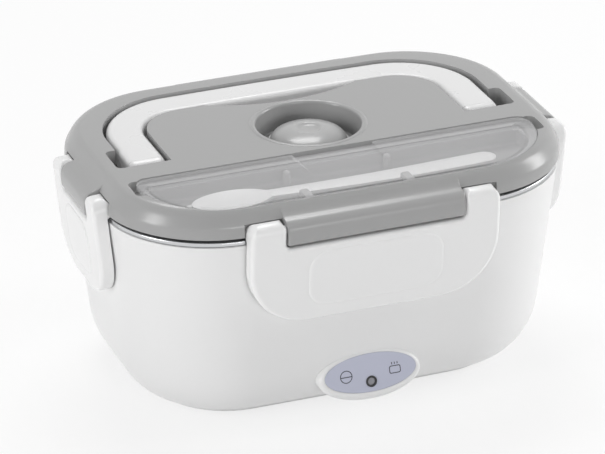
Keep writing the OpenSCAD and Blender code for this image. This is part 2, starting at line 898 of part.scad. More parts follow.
bead_r = 1.3;
bead_up = 0.5;
stem_r = 3.5;
module lid_shell() {
    color(grey) {
        difference() {
            union() {
                lid_block();
                wall(lid_outline(core_in), panel_top + seat, lid_z + 1);
                for (side = sides)
                    at_pivot(side)
                        tongue(tongue_length(side));
                translate([0, well_y, lid_top + bead_up - bead_r])
                    rotate_extrude($fn = 96)
                        translate([well_r + bead_r, 0])
                            circle(bead_r, $fn = 24);
            }
            difference() {
                wall(lid_outline(seal_out), lid_z - 2, lid_z + 3.5);
                wall(lid_outline(core_in), lid_z - 3, lid_z + 4);
            }
            lid_hollow();
            wall(cover_outline(slip), ledge_z, lid_top + 1);
            wall(cover_outline(-ledge_w), cavity_floor, lid_top + 1);
            mirrored()
                thumb_pocket();
            translate([0, 0, channel_z])
                linear_extrude(lid_h)
                    handle_plan(channel_gap);
            mirrored() {
                end_pocket(0, pocket_z);
                translate([0, handle_pivot_y, handle_z - handle_boss_r])
                    rod(handle_pin_r + run, handle_l/2, handle_l/2 + pin_reach + slip);
            }
            finger_scoop();
            translate([0, well_y, well_floor])
                cylinder(r = well_r, h = lid_h, $fn = 96);
            translate([0, well_y, 0])
                cylinder(r = stem_r + slip, h = lid_top, $fn = 48);
            for (side = sides) {
                ear_relief(side);
                peg_bores(side);
            }
        }
        mirrored() {
            cutlery_post();
            cutlery_tab();
        }
    }
}

// Post behind the cutlery, and tab that reaches over it from the front ledge
post_r = 1.7;
post_y = -cover_rear - ledge_w - 2.4;
module cutlery_post() {
    post_h = 7;
    translate([post_x, post_y, cavity_floor - 0.5]) {
        cylinder(r = post_r, h = post_h - post_r + 0.5, $fn = 32);
        translate([0, 0, post_h - post_r + 0.5])
            sphere(post_r, $fn = 32);
    }
}

tab_w = 4.2;
tab_rear = -51.5;
tab_t = 2.6;
tab_z = ledge_z - 4.6;
module cutlery_tab() {
    front = -cover_front + ledge_w - 1;
    translate([post_x - tab_w/2, front, tab_z])
        cube([tab_w, tab_rear - front, tab_t]);
}

module lid_inner_panel() {
    rib_h = 1;
    color(white)
        difference() {
            union() {
                wall(lid_outline(core_in + 0.6), panel_top - panel_t, panel_top);
                difference() {
                    wall(lid_outline(core_in + 8), panel_top - panel_t - rib_h, panel_top - panel_t/2);
                    wall(lid_outline(core_in + 10), panel_top - panel_t - rib_h - 1, panel_top);
                }
            }
            translate([0, well_y, 0])
                cylinder(r = stem_r + 2.5, h = lid_top, $fn = 48);
        }
}

// Silicone ring with two lips that press on the steel rim
module lid_seal() {
    top = lid_z + 3.5 - 2*seat;
    low = flange_top + 3*seat;
    a = seal_out + 2*seat;
    b = seal_in - seat;
    m = (a + b)/2;
    profile = [[b, low + 1.4], [b - 0.6, low], [b - 1.4, low], [b - 1.4, low + 1.6], [a + 1.4, low + 1.6],
        [a + 1.4, low], [a + 0.6, low], [a, low + 1.4], [a, top], [b, top]];
    color([0.9, 0.9, 0.88])
        skin([for (p = profile) level(lid_outline(p[0]), p[1])], closed = true);
}

seal_h = 1.7;
module valve_seal() {
    color([0.9, 0.9, 0.88])
        translate([0, well_y, well_floor + seat])
            difference() {
                cylinder(r = dome_r, h = seal_h, $fn = 64);
                translate([0, 0, -1])
                    cylinder(r = dome_r - 4, h = seal_h + 2, $fn = 64);
            }
}

// Dome with a dimple on top, a wide foot and a stem that snaps through the lid
module steam_valve() {
    foot_z = well_floor + seal_h + 3*seat;
    foot_t = 1.2;
    dome_h = 6.4;
    dimple_r = 4.5;
    barb_top = well_floor - 2 - valve_lift_space;
    steps = 12;
    z1 = foot_z + foot_t;
    dome = [for (k = [0:steps])
        let (a = 90*k/steps, r = dome_r*cos(a)) if (r > dimple_r) [r, z1 + dome_h*pow(sin(a), 0.8)]];
    rim = dome[len(dome) - 1];
    color([0.93, 0.93, 0.93])
        translate([0, well_y, 0])
            rotate_extrude($fn = 96)
                polygon(concat([[0, barb_top - 2.5], [stem_r - 0.8, barb_top - 2.5],
                    [stem_r + 1.3, barb_top - 0.8], [stem_r + 1.3, barb_top],
                    [stem_r, barb_top], [stem_r, foot_z],
                    [dome_r + 2.5, foot_z], [dome_r + 2.5, foot_z + foot_t*0.6], [dome_r + 2, z1]],
                    dome,
                    [[dimple_r, rim.y + 0.1], [dimple_r - 1.2, rim.y - 0.5], [0, rim.y - 0.8]]));
}

// ---------- Handle ----------

// Bar swept along the handle's plan; its section is drawn with u across and v up
module handle_bar() {
    h = handle_w/2;
    edge = handle_edge;
    section = [[h, 0], [h, handle_t - edge], [h - 0.3*edge, handle_t - 0.3*edge], [h - edge, handle_t],
        [edge - h, handle_t], [0.3*edge - h, handle_t - 0.3*edge], [-h, handle_t - edge], [-h, 0]];
    mid_l = handle_l - handle_w;
    mid_rear = handle_rear - h;
    r = handle_r - h;
    bow_at = function(x) side_bow*pow(2*min(abs(x), mid_l/2 - r)/mid_l, 2);
    arm = concat([[mid_l/2, handle_pivot_y + bow_at(mid_l/2), 0]],
        [for (k = [0:corner_steps])
            let (a = 90*k/corner_steps)
            [mid_l/2 - r + r*cos(a), mid_rear - r + r*sin(a), a]]);
    n = len(arm);
    path = concat([for (p = arm) [-p.x, p.y, 180 - p.z]],
        [for (k = [-3:3]) [k*(mid_l/2 - r)/4, mid_rear, 90]],
        [for (k = [n - 1:-1:0]) arm[k]]);
    skin([for (p = path) [for (s = section)
        [p.x + s.x*cos(p.z), p.y - bow_at(p.x) + s.x*sin(p.z), handle_z - handle_t + s.y]]]);
}

// Hollow in the underside of the bar
module handle_core(x, y, l, w) {
    translate([x - l/2, y - w/2, handle_z - handle_t - 1])
        cube([l, w, handle_t - 1.4]);
}

// Round end of an arm, with the bar's rounded edges
module handle_boss() {
    r = handle_boss_r - 0.05;
    w = handle_w/2 - 0.05;
    half = [[r, 0], [r, w - handle_edge], [r - 0.3*handle_edge, w - 0.3*handle_edge],
        [r - handle_edge, w], [0, w]];
    rotate([0, 90, 0])
        rotate_extrude($fn = 64)
            polygon(concat([[0, -w]],
                [for (k = [3:-1:1]) [half[k].x, -half[k].y]],
                [for (k = [1:4]) half[k]]));
}

module handle() {
    arm_x = (handle_l - handle_w)/2;
    core_w = handle_w - 4.8;
    cores = 7;
    pitch = 14;
    core_l = pitch - 1.6;
    arm_core = 7;
    color(white)
        difference() {
            union() {
                handle_bar();
                mirrored()
                    translate([0, handle_pivot_y, handle_z - handle_boss_r]) {
                        translate([arm_x, 0, 0])
                            handle_boss();
                        rod(handle_pin_r, handle_l/2 - 1, handle_l/2 + pin_reach);
                    }
            }
            for (k = [0:cores - 1])
                handle_core((k - (cores - 1)/2)*pitch, handle_rear - handle_w/2 - 0.5, core_l, core_w);
            mirrored()
                for (k = [0, 1])
                    handle_core(arm_x, 7 + k*(arm_core + 1.6), core_w, arm_core);
        }
}

// ---------- Cutlery ----------

cutlery_y = -45.5;
// Ring across a piece of cutlery at x: half width, height of its edge, how far its middle sags, thickness
function cutlery_ring(x, half, z, sag, t) =
    let (across = [for (k = [0:4]) 1 - k/2])
    concat(
        [for (u = across) [x, u*half, z - sag*(1 - u*u)]],
        [for (k = [4:-1:0]) let (u = across[k]) [x, u*half*0.96, z - t - sag*(1 - u*u)]]);

// Half width along a spoon: an oval bowl that runs into a slim neck and a handle that widens again
function bowl_half(x, l, w) = w*sqrt(max(0, 1 - pow(2*x/l - 1, 2)));

module spoon() {
    bowl_l = 36;
    bowl_w = 9.4;
    neck_w = 3.4;
    grip_w = 5.2;
    z = cavity_floor + 4.6;
    t = 1.3;
    x0 = -cutlery_l/2 - 4;
    bowl = [for (k = [0:8])
        let (x = bowl_l*(1 - cos(180*k/9))/2 + 0.15)
        cutlery_ring(x0 + x, max(bowl_half(x, bowl_l, bowl_w), x > bowl_l/2 ? neck_w : 0.6), z,
            1.2*pow(sin(180*x/bowl_l), 1.5), t)];
    grip = [for (k = [0:8])
        let (u = k/8, x = bowl_l + u*(cutlery_l - bowl_l))
        cutlery_ring(x0 + x, neck_w + (grip_w - neck_w)*sin(90*u), z - 0.8*sin(180*u), -0.6, t)];
    tip = [for (k = [1:3])
        cutlery_ring(x0 + cutlery_l + grip_w*sin(30*k), grip_w*cos(29*k), z, -0.6*cos(29*k), t)];
    color(white)
        translate([0, cutlery_y, 0])
            skin(concat(bowl, grip, tip));
}

// Flat fork with four tines
module fork() {
    head_l = 34;
    head_w = 9;
    neck_w = 3.2;
    end_w = 5;
    slot_w = 1.8;
    slot_l = 19;
    t = 1.2;
    half = concat(
        [for (u = [0:1/6:1])
            [head_l*u, u < 0.6 ? head_w*(0.86 + 0.2*u) : neck_w + (head_w - neck_w)*(1 - u)/0.4]],
        [for (u = [1/8:1/8:1])
            [head_l + u*(cutlery_l - head_l), neck_w + (end_w - neck_w)*u]]);
    n = len(half);
    grip_end = [for (a = [75:-15:-75]) [cutlery_l + end_w*cos(a), end_w*sin(a)]];
    slots = [for (k = [-1:1])
        for (a = [-90:15:90])
            [abs(a) == 90 ? 0 : slot_l + slot_w/2*cos(a), k*head_w/2 + slot_w/2*sin(a)]];
    color(white)
        translate([-cutlery_l/2 - 4, cutlery_y, cavity_floor + 3*seat])
            linear_extrude(t)
                polygon(concat(half, grip_end, [for (k = [n - 1:-1:0]) [half[k].x, -half[k].y]], slots));
}

// Clear cover with a locating rim below and a shallow grip recess at its rear edge
grip_l = 38;
grip_w = 24;
grip_d = 0.8;
module cutlery_cover() {
    rim_out = ledge_w + 0.3;
    rim_low = ledge_z - 1.4;
    color(clear)
        difference() {
            union() {
                wall(cover_outline(0), cover_z, cover_z + cover_t);
                difference() {
                    wall(cover_outline(-rim_out), rim_low, cover_z + 0.5);
                    wall(cover_outline(-rim_out - 1.2), rim_low - 1, cover_z + 1);
                }
            }
            translate([-grip_l/2, -cover_rear - grip_w, cover_z + cover_t - grip_d])
                cube([grip_l, grip_w + 1, 2]);
        }
}

// ---------- Latches ----------

// Front view of a latch from its lower edge up to top, with round corners of radius r below and rt above
module latch_front_view(w, r, top, rt, inset = 0) {
    half = w/2 - inset;
    low = -latch_h + inset;
    rb = r - inset;
    intersection() {
        union() {
            translate([-half, low + rb])
                square([2*half, 2*r]);
            translate([rb - half, low])
                square([2*(half - rb), 2*r]);
            for (x = [-1, 1])
                translate([x*(half - rb), low + rb])
                    circle(rb, $fn = 96);
        }
        union() {
            translate([-half, low - 1])
                square([2*half, top - low + 1 - rt]);
            translate([rt - half, low - 1])
                square([2*(half - rt), top - low + 1]);
            for (x = [-1, 1])
                translate([x*(half - rt), top - rt])
                    circle(rt, $fn = 48);
        }
    }
}

module upright(y0, y1) {
    translate([0, y1, 0])
        rotate([90, 0, 0])
            linear_extrude(y1 - y0)
                children();
}

module latch(side) {
    w = latch_width(side);
    r = corner_radius(side);
    ear_x = tongue_length(side)/2 + ear_gap;
    back = pivot_out;
    out = knuckle_r;
    hook_l = catch_length(side) - 4;
    pad_w = w*0.54;
    color(white)
        difference() {
            at_latch(side) {
                difference() {
                    upright(-out, back)
                        latch_front_view(w, r, -neck, 1);
                    upright(latch_t - out, back + 1)
                        latch_front_view(w, r, -neck - latch_t, 1, latch_t);
                }
                intersection() {
                    upright(-out, out + 1)
                        latch_front_view(w, r, knuckle_r, 5);
                    mirrored() {
                        rod(out, ear_x, w/2);
                        translate([ear_x, -out, -neck - 1])
                            cube([w/2 - ear_x, out + back - 0.5, neck + 1]);
                    }
                }
                mirrored()
                    rod(peg_r, ear_x - peg_l, ear_x + 1);
                // Hook that lies under the catch rib of the case
                rotate([90, 0, 90])
                    translate([0, 0, -hook_l/2])
                        linear_extrude(hook_l)
                            polygon([[latch_t - out - 0.5, hook_z], [hook_end, hook_z],
                                [hook_end - 0.2, hook_z - 1],
                                [latch_t - out - 0.5, hook_z - hook_h - 1.2]]);
                // Stiffening ribs inside the tray
                for (x = [-1, 1])
                    translate([x*(hook_l/2 + 4) - 0.7, latch_t - out - 0.5, -latch_h + latch_t - 0.5])
                        cube([1.4, 2.5, latch_h - latch_t - neck - 0.5]);
                // Raised thumb pad on the outside
                upright(-out - 0.4, -out + 0.5)
                    translate([0, -neck - 17])
                        rounded_rect(pad_w, 27, 9);
            }
            at_pivot(side) {
                translate([-w/2 - 1, lift_back, -latch_h - 5])
                    cube([w + 2, 10, latch_h]);
                // Way past the catch rib for the lower wall
                translate([-hook_l/2 - 2.5, catch_back, -latch_h - 5])
                    cube([hook_l + 5, 10, 12]);
            }
        }
}

module latch_front() {
    latch(0);
}

module latch_right() {
    latch(90);
}

module latch_back() {
    latch(180);
}

module latch_left() {
    latch(270);
}

case_shell();
base_cover();
feet();
base_screws();
inner_liner();
heat_plate();
ptc_heater();
heater_clamp();
clamp_screws();
thermostat();
thermal_fuse();
lead_wires();
power_inlet();
inlet_pins();
indicator_board();
indicator_led();
led_bezel();
control_label();
food_container();
lid_shell();
lid_inner_panel();
lid_seal();
valve_seal();
steam_valve();
handle();
fork();
spoon();
cutlery_cover();
latch_front();
latch_right();
latch_back();
latch_left();
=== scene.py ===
import bpy
import bmesh
import math
from mathutils import Matrix, Vector


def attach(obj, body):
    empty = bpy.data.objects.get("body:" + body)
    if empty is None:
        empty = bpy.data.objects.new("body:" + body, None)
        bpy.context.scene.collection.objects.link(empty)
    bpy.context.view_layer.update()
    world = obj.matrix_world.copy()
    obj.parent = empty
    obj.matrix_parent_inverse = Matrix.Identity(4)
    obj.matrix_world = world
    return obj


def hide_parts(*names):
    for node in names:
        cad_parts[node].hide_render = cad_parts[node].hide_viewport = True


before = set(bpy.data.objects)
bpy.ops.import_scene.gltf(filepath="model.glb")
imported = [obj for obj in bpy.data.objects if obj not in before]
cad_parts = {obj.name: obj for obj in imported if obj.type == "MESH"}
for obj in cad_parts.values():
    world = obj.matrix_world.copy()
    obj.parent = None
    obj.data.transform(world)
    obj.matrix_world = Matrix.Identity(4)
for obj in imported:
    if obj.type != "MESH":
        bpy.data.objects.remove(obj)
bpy.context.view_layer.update()  # frame["bodies"], ["nodes"], ["joints"], ["record"]
bpy.ops.object.select_all(action="DESELECT")
print("frame loaded")

# Sizes of the object are in millimetres, and mm turns them into metres where a mesh or a matrix is made
mm = 0.001

# The rounded oblong that the case, the container and the lid follow, its sides bowed a little
outline = {"length": 209, "width": 145, "radius": 48, "sideBow": 1.3, "endBow": 0.78,
           "cornerSteps": 20, "sideSteps": 14}

# The sides that carry a latch, by their turn about Z: front, right, back and left
longSide = {"pivot": 75.4, "tongue": 81.8, "latch": 115, "corner": 27}
shortSide = {"pivot": 107.4, "tongue": 34, "latch": 58, "corner": 20.4}
sides = {0: longSide, 90: shortSide, 180: longSide, 270: shortSide}
pivotHeight = 99
ribShare = 0.42  # length of a catch rib, as a share of its latch's width
handlePivot = (-4.5, 103.5)  # y and z of the handle's pins

# The oval pods at the front and the back; their faces look down a little
pod = {"face": 70, "height": 19, "tilt": 15, "halfLength": 24, "halfHeight": 11.2, "rounding": 2.4,
       "depth": 31, "wall": 2.4, "seatDepth": 0.25, "lampHole": 2.6, "lampDrop": -3}


def pick(*pieces):
    bpy.ops.object.select_all(action="DESELECT")
    for piece in pieces:
        piece.select_set(True)
    bpy.context.view_layer.objects.active = pieces[0]


def arcPoints(cx, cy, radius, start, steps, turn=90):
    angles = [math.radians(start + turn*k/steps) for k in range(steps + 1)]
    return [(cx + radius*math.cos(a), cy + radius*math.sin(a)) for a in angles]


def ovalPoints(cx, cy, halfLength, halfHeight, count=96):
    angles = [math.tau*k/count for k in range(count)]
    return [(cx + halfLength*math.cos(a), cy + halfHeight*math.sin(a)) for a in angles]


def boxPoints(cx, cy, length, width, radius, steps=8):
    points = []
    for quarter in range(4):
        x = cx + (length/2 - radius)*(1 if quarter in (0, 3) else -1)
        y = cy + (width/2 - radius)*(1 if quarter < 2 else -1)
        points += arcPoints(x, y, radius, 90*quarter, steps)
    return points


# Points inside a straight stretch, without its two ends
def between(x0, x1, y, steps):
    return [(x0 + (x1 - x0)*k/steps, y) for k in range(1, steps)]


def mirrored(points):
    return [(-x, y) for x, y in points[::-1]]


def atLevel(points, z):
    return [(x, y, z) for x, y in points]


def roundRing(cx, cy, radius, z, count=96):
    return atLevel(ovalPoints(cx, cy, radius, radius, count), z)


def boxRing(cx, cy, length, width, radius, z):
    return atLevel(boxPoints(cx, cy, length, width, radius), z)


def outlineRing(length, width, radius, z):
    points = []
    for quarter in range(4):
        cx = (length/2 - radius)*(1 if quarter in (0, 3) else -1)
        cy = (width/2 - radius)*(1 if quarter < 2 else -1)
        points += arcPoints(cx, cy, radius, 90*quarter, outline["cornerSteps"])
        x, y = points[-1]
        goalX, goalY = (-x, y) if quarter % 2 == 0 else (x, -y)
        for k in range(1, outline["sideSteps"]):
            share = k/outline["sideSteps"]
            points.append((x + (goalX - x)*share, y + (goalY - y)*share))
    bowed = []
    for x, y in points:
        bowed.append((x*(1 - 2*outline["endBow"]/length*(2*y/width)**2),
                      y*(1 - 2*outline["sideBow"]/width*(2*x/length)**2), z))
    return bowed


# The mouth's outline moved in by inset, its corners tighter by cut
def caseRing(inset, z, cut):
    return outlineRing(outline["length"] - 2*inset, outline["width"] - 2*inset, outline["radius"] - cut, z)


# A ring of points is extruded from one level to the next, and each level is moved to its own outline
def loft(name, rings, closed=False):
    bpy.ops.object.select_all(action="DESELECT")
    bpy.ops.mesh.primitive_circle_add(vertices=len(rings[0]), radius=0.01, fill_type="NOTHING")
    piece = bpy.context.active_object
    piece.name = piece.data.name = name
    for vert, point in zip(piece.data.vertices, rings[0]):
        vert.co = Vector(point)*mm
    bpy.ops.object.mode_set(mode="EDIT")
    bpy.ops.mesh.select_mode(type="VERT")
    bpy.ops.mesh.select_all(action="SELECT")
    spots = {k: k for k in range(len(rings[0]))}
    for ring in rings[1:] + ([rings[0]] if closed else []):
        bpy.ops.mesh.extrude_region_move()
        mesh = bmesh.from_edit_mesh(piece.data)
        mesh.verts.index_update()
        moved = {}
        for vert in [v for v in mesh.verts if v.select]:
            below = [e.other_vert(vert) for e in vert.link_edges if not e.other_vert(vert).select][0]
            moved[vert.index] = spots[below.index]
            vert.co = Vector(ring[spots[below.index]])*mm
        spots = moved
        bmesh.update_edit_mesh(piece.data)
    if closed:
        bpy.ops.mesh.select_all(action="SELECT")
        bpy.ops.mesh.remove_doubles(threshold=0.002*mm)
    else:
        bpy.ops.mesh.edge_face_add()
        bpy.ops.mesh.select_all(action="DESELECT")
        mesh = bmesh.from_edit_mesh(piece.data)
        mesh.verts.ensure_lookup_table()
        for k in range(len(rings[0])):
            mesh.verts[k].select_set(True)
        mesh.select_flush(True)
        bmesh.update_edit_mesh(piece.data)
        bpy.ops.mesh.edge_face_add()
    bpy.ops.mesh.select_all(action="SELECT")
    bpy.ops.mesh.normals_make_consistent(inside=False)
    bpy.ops.object.mode_set(mode="OBJECT")
    return piece


# Shape drawn in x and z, running from y0 to y1
def plate(name, points, y0, y1):
    return loft(name, [[(x, y, z) for x, z in points] for y in (y0, y1)])


# Shape drawn in y and z, running from x0 to x1
def bar(name, points, x0, x1):
    return loft(name, [[(x, y, z) for y, z in points] for x in (x0, x1)])


def rod(name, radius, x0, x1, y=0, z=0):
    return bar(name, ovalPoints(y, z, radius, radius, 64), x0, x1)


def combine(piece, other, way="DIFFERENCE"):
    pick(piece)
    step = piece.modifiers.new("combine", "BOOLEAN")
    step.operation = way
    step.solver = "EXACT"
    step.object = other
    bpy.ops.object.modifier_apply(modifier=step.name)
    bpy.data.objects.remove(other)


# Pieces that stand apart go into one mesh, so that one boolean does for all of them
def joined(pieces):
    pick(*pieces)
    bpy.ops.object.join()
    return bpy.context.active_object


def turned(piece, matrix):
    pick(piece)
    piece.matrix_world = matrix
    bpy.ops.object.transform_apply(location=True, rotation=True, scale=True)
    return piece


def copied(piece, name):
    pick(piece)
    bpy.ops.object.duplicate()
    twin = bpy.context.active_object
    twin.name = twin.data.name = name
    return twin


def finished(piece, material, body, slot, *nodes, angle=38):
    pick(piece)
    bpy.ops.object.shade_smooth_by_angle(angle=math.radians(angle))
    step = piece.modifiers.new("normals", "WEIGHTED_NORMAL")
    step.keep_sharp = True
    bpy.ops.object.modifier_apply(modifier=step.name)
    piece.data.materials.clear()
    piece.data.materials.append(material)
    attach(piece, body)
    if nodes:
        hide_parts(*nodes)
    return piece


# Where a latch turns: X runs along its pegs and the outside is at -Y
def pivotFrame(side, tilt=0):
    spin = Matrix.Rotation(math.radians(side), 4, "Z")
    place = Matrix.Translation((0, -sides[side]["pivot"]*mm, pivotHeight*mm))
    return spin @ place @ Matrix.Rotation(tilt, 4, "X")


# The face of a pod, with its outside at -Y
def podFrame(side):
    spin = Matrix.Rotation(math.radians(side), 4, "Z")
    place = Matrix.Translation((0, -pod["face"]*mm, pod["height"]*mm))
    return spin @ place @ Matrix.Rotation(-math.radians(pod["tilt"]), 4, "X")


# Colour as it shows on a screen, from 0 to 255
def tint(red, green, blue):
    shade = [c/255 for c in (red, green, blue)]
    return [c/12.92 if c < 0.04045 else ((c + 0.055)/1.055)**2.4 for c in shade] + [1]


# How the surfaces vary: the broad pattern shifts colour and gloss, and the fine one is the grain
pattern = {"broadScale": 38, "broadDetail": 4, "fineDetail": 3, "glossSwing": 0.03, "grainDepth": 0.1,
           "middle": 55, "brushStretch": 0.08, "edgeSamples": 6, "coatRoughness": 0.12}


def placedPattern(tree, middle=0, stretch=1):
    where = tree.nodes.new("ShaderNodeTexCoord")
    mapping = tree.nodes.new("ShaderNodeMapping")
    mapping.inputs["Location"].default_value = (0, 0, -middle*mm)
    mapping.inputs["Scale"].default_value = (stretch, 1, 1)
    tree.links.new(where.outputs["Object"], mapping.inputs["Vector"])
    return mapping.outputs["Vector"]


def noise(tree, place, scale, detail):
    texture = tree.nodes.new("ShaderNodeTexNoise")
    texture.inputs["Scale"].default_value = scale
    texture.inputs["Detail"].default_value = detail
    tree.links.new(place, texture.inputs["Vector"])
    return texture.outputs["Fac"]


def ranged(tree, value, low, high):
    spread = tree.nodes.new("ShaderNodeMapRange")
    spread.inputs["To Min"].default_value = low
    spread.inputs["To Max"].default_value = high
    tree.links.new(value, spread.inputs["Value"])
    return spread.outputs["Result"]


def newMaterial(name):
    material = bpy.data.materials.new(name)
    material.use_nodes = True
    return material, material.node_tree, material.node_tree.nodes["Principled BSDF"]


# grainSize and edge, the radius of a softened edge, are in millimetres
def surface(name, colour, roughness, grain=0.05, grainSize=0.6, mottle=0.006, edge=0.4, metallic=0,
            coat=0, brushed=False):
    material, tree, shader = newMaterial(name)
    place = placedPattern(tree, pattern["middle"], pattern["brushStretch"] if brushed else 1)
    fine = noise(tree, place, 1/(grainSize*mm), pattern["fineDetail"])
    broad = noise(tree, place, pattern["broadScale"], pattern["broadDetail"])
    swing = pattern["glossSwing"]
    tree.links.new(ranged(tree, broad, roughness - swing, roughness + swing), shader.inputs["Roughness"])
    shader.inputs["Base Color"].default_value = colour
    if mottle:
        shift = tree.nodes.new("ShaderNodeMix")
        shift.data_type = "RGBA"
        shift.inputs["A"].default_value = colour
        shift.inputs["B"].default_value = [c*(1 - mottle*2) for c in colour[:3]] + [1]
        tree.links.new(broad, shift.inputs["Factor"])
        tree.links.new(shift.outputs["Result"], shader.inputs["Base Color"])
    bump = tree.nodes.new("ShaderNodeBump")
    bump.inputs["Strength"].default_value = grain
    bump.inputs["Distance"].default_value = pattern["grainDepth"]*mm
    tree.links.new(fine, bump.inputs["Height"])
    if edge:
        soften = tree.nodes.new("ShaderNodeBevel")
        soften.samples = pattern["edgeSamples"]
        soften.inputs["Radius"].default_value = edge*mm
        tree.links.new(soften.outputs["Normal"], bump.inputs["Normal"])
    tree.links.new(bump.outputs["Normal"], shader.inputs["Normal"])
    shader.inputs["Metallic"].default_value = metallic
    shader.inputs["Coat Weight"].default_value = coat
    shader.inputs["Coat Roughness"].default_value = pattern["coatRoughness"]
    return material


whitePlastic = surface("whitePlastic", tint(234, 234, 234), 0.3, grain=0.04, edge=0.6)
latchPlastic = surface("latchPlastic", tint(240, 240, 240), 0.26, grain=0.04, edge=0)
greyPlastic = surface("greyPlastic", tint(164, 164, 164), 0.25, grain=0.12, grainSize=0.5, edge=0.3)
handlePlastic = surface("handlePlastic", tint(232, 232, 232), 0.28, grain=0.03, edge=0)
valvePlastic = surface("valvePlastic", tint(178, 178, 178), 0.22, grain=0.04, edge=0)
cutleryPlastic = surface("cutleryPlastic", tint(245, 245, 245), 0.3, grain=0.03, edge=0.3)
linerPlastic = surface("linerPlastic", tint(205, 205, 205), 0.45, grain=0.08)
panelPlastic = surface("panelPlastic", tint(226, 226, 226), 0.4, grain=0.06)
labelFilm = surface("labelFilm", tint(186, 189, 206), 0.38, grain=0.06, grainSize=0.4, edge=0.1)
markInk = surface("markInk", tint(52, 53, 66), 0.5, grain=0.02, edge=0)
containerSteel = surface("containerSteel", tint(205, 206, 208), 0.24, grain=0.25, grainSize=0.4, edge=0.3,
                         metallic=1, brushed=True)
sealSilicone = surface("sealSilicone", tint(92, 92, 93), 0.5)
footRubber = surface("footRubber", tint(70, 70, 72), 0.75, grain=0.2)
fastenerSteel = surface("fastenerSteel", tint(190, 190, 192), 0.35, grain=0.1, edge=0.1, metallic=1)
heaterAluminium = surface("heaterAluminium", tint(196, 197, 200), 0.4, grain=0.2, metallic=1, brushed=True)
heaterCeramic = surface("heaterCeramic", tint(214, 208, 190), 0.7, grain=0.2)
wireRubber = surface("wireRubber", tint(178, 46, 38), 0.5, grain=0.06)
boardLaminate = surface("boardLaminate", tint(34, 96, 52), 0.45, grain=0.1)
inletPlastic = surface("inletPlastic", tint(30, 30, 32), 0.4, grain=0.08)
pinBrass = surface("pinBrass", tint(206, 178, 106), 0.3, grain=0.08, edge=0.1, metallic=1)
lampLens = surface("lampLens", tint(150, 150, 156), 0.12, grain=0.02, edge=0.1, coat=0.5)

# Clear where it faces the eye, milky where the eye grazes it
clearLook = {"tint": tint(236, 236, 237), "bending": 1.4, "blend": 0.3, "facingAlpha": 0.02,
             "grazingAlpha": 0.6, "hazeScale": 60, "hazeDetail": 3, "smooth": 0.06, "hazy": 0.16}
clearPlastic, tree, shader = newMaterial("clearPlastic")
shader.inputs["Base Color"].default_value = clearLook["tint"]
shader.inputs["IOR"].default_value = clearLook["bending"]
facing = tree.nodes.new("ShaderNodeLayerWeight")
facing.inputs["Blend"].default_value = clearLook["blend"]
alpha = ranged(tree, facing.outputs["Facing"], clearLook["facingAlpha"], clearLook["grazingAlpha"])
tree.links.new(alpha, shader.inputs["Alpha"])
haze = noise(tree, placedPattern(tree), clearLook["hazeScale"], clearLook["hazeDetail"])
tree.links.new(ranged(tree, haze, clearLook["smooth"], clearLook["hazy"]), shader.inputs["Roughness"])
print("materials done")

# The case leans in towards the table and rounds off at its foot. A thicker band near its mouth holds the
# liner, and a catch rib under each latch stands out from its wall
case = {"height": 93, "leanIn": 8.5, "wall": 2.4, "foot": 3.4, "roundHeight": 23, "roundDepth": 15.5,
        "levels": (36, 48, 60, 72, 84, 92.5), "edge": ((0.18, 92.85), (0.5, 93)),
        "band": ((4.4, 89.5), (4.4, 91), (1.2, 91.01), (1.2, 94)), "bandStart": 87,
        "ribShape": ((0.6, -19.7), (0.6, -17.85), (2.35, -15), (3.55, -15), (3.55, -19.7)),
        "seat": (0, 1, 21.5, 8.7), "socket": (0, 0, 20.4, 11.4, 5.69), "cutOut": -1, "cutIn": 3.4}
wallTilt = math.atan(case["leanIn"]/case["height"])


def caseIn(z):
    up = max(0, min(1, 1 - (z - case["foot"])/case["roundHeight"]))
    leanIn = case["leanIn"]*(case["height"] - z)/case["height"]
    return leanIn, case["roundDepth"]*(1 - math.sqrt(max(0, 1 - up*up)))


def caseLevel(z, wall=0):
    leanIn, foot = caseIn(z)
    return caseRing(leanIn + foot + wall, z, foot + wall)


def podRings(inset, rounding):
    steps = 7 if rounding else 0
    lean = math.radians(pod["tilt"])
    rings = []
    for k in range(steps + 1):
        a = math.pi/2*k/steps if steps else math.pi/2
        drawn = inset + rounding*(1 - math.sin(a))
        depth = inset + rounding*(1 - math.cos(a))
        face = ovalPoints(0, 0, pod["halfLength"] - drawn, drawn - pod["halfHeight"])
        rings.append([(x, depth*math.cos(lean) + z*math.sin(lean) - pod["face"],
                       pod["height"] - depth*math.sin(lean) + z*math.cos(lean)) for x, z in face])
    return rings + [[(x, y + pod["depth"], z) for x, y, z in rings[-1]]]


footHeights = [case["foot"] + case["roundHeight"]*(1 - math.cos(math.pi/2*k/14)) for k in range(15)]
outerRings = [caseLevel(z) for z in footHeights] + [caseLevel(z) for z in case["levels"]]
outerRings += [caseRing(inset, z, inset) for inset, z in case["edge"]]
caseBody = loft("caseBody", outerRings)
for side in (0, 180):
    podBlock = loft("pod", podRings(0, pod["rounding"]))
    combine(caseBody, turned(podBlock, Matrix.Rotation(math.radians(side), 4, "Z")), "UNION")
floorCut = case["roundDepth"] + case["wall"]
innerRings = [caseRing(caseIn(case["foot"])[0] + floorCut, case["wall"], floorCut)]
innerRings += [caseLevel(z, case["wall"]) for z in footHeights + [case["bandStart"]]]
innerRings += [caseRing(inset, z, inset) for inset, z in case["band"]]
combine(caseBody, loft("inside", innerRings))
for side in (0, 180):
    podRoom = loft("podInside", podRings(pod["wall"], 0))
    combine(caseBody, turned(podRoom, Matrix.Rotation(math.radians(side), 4, "Z")))
labelSeat = plate("seat", ovalPoints(*case["seat"]), case["cutOut"], pod["seatDepth"])
combine(caseBody, turned(labelSeat, podFrame(0)))
lampCircle = ovalPoints(0, pod["lampDrop"], pod["lampHole"], pod["lampHole"], 48)
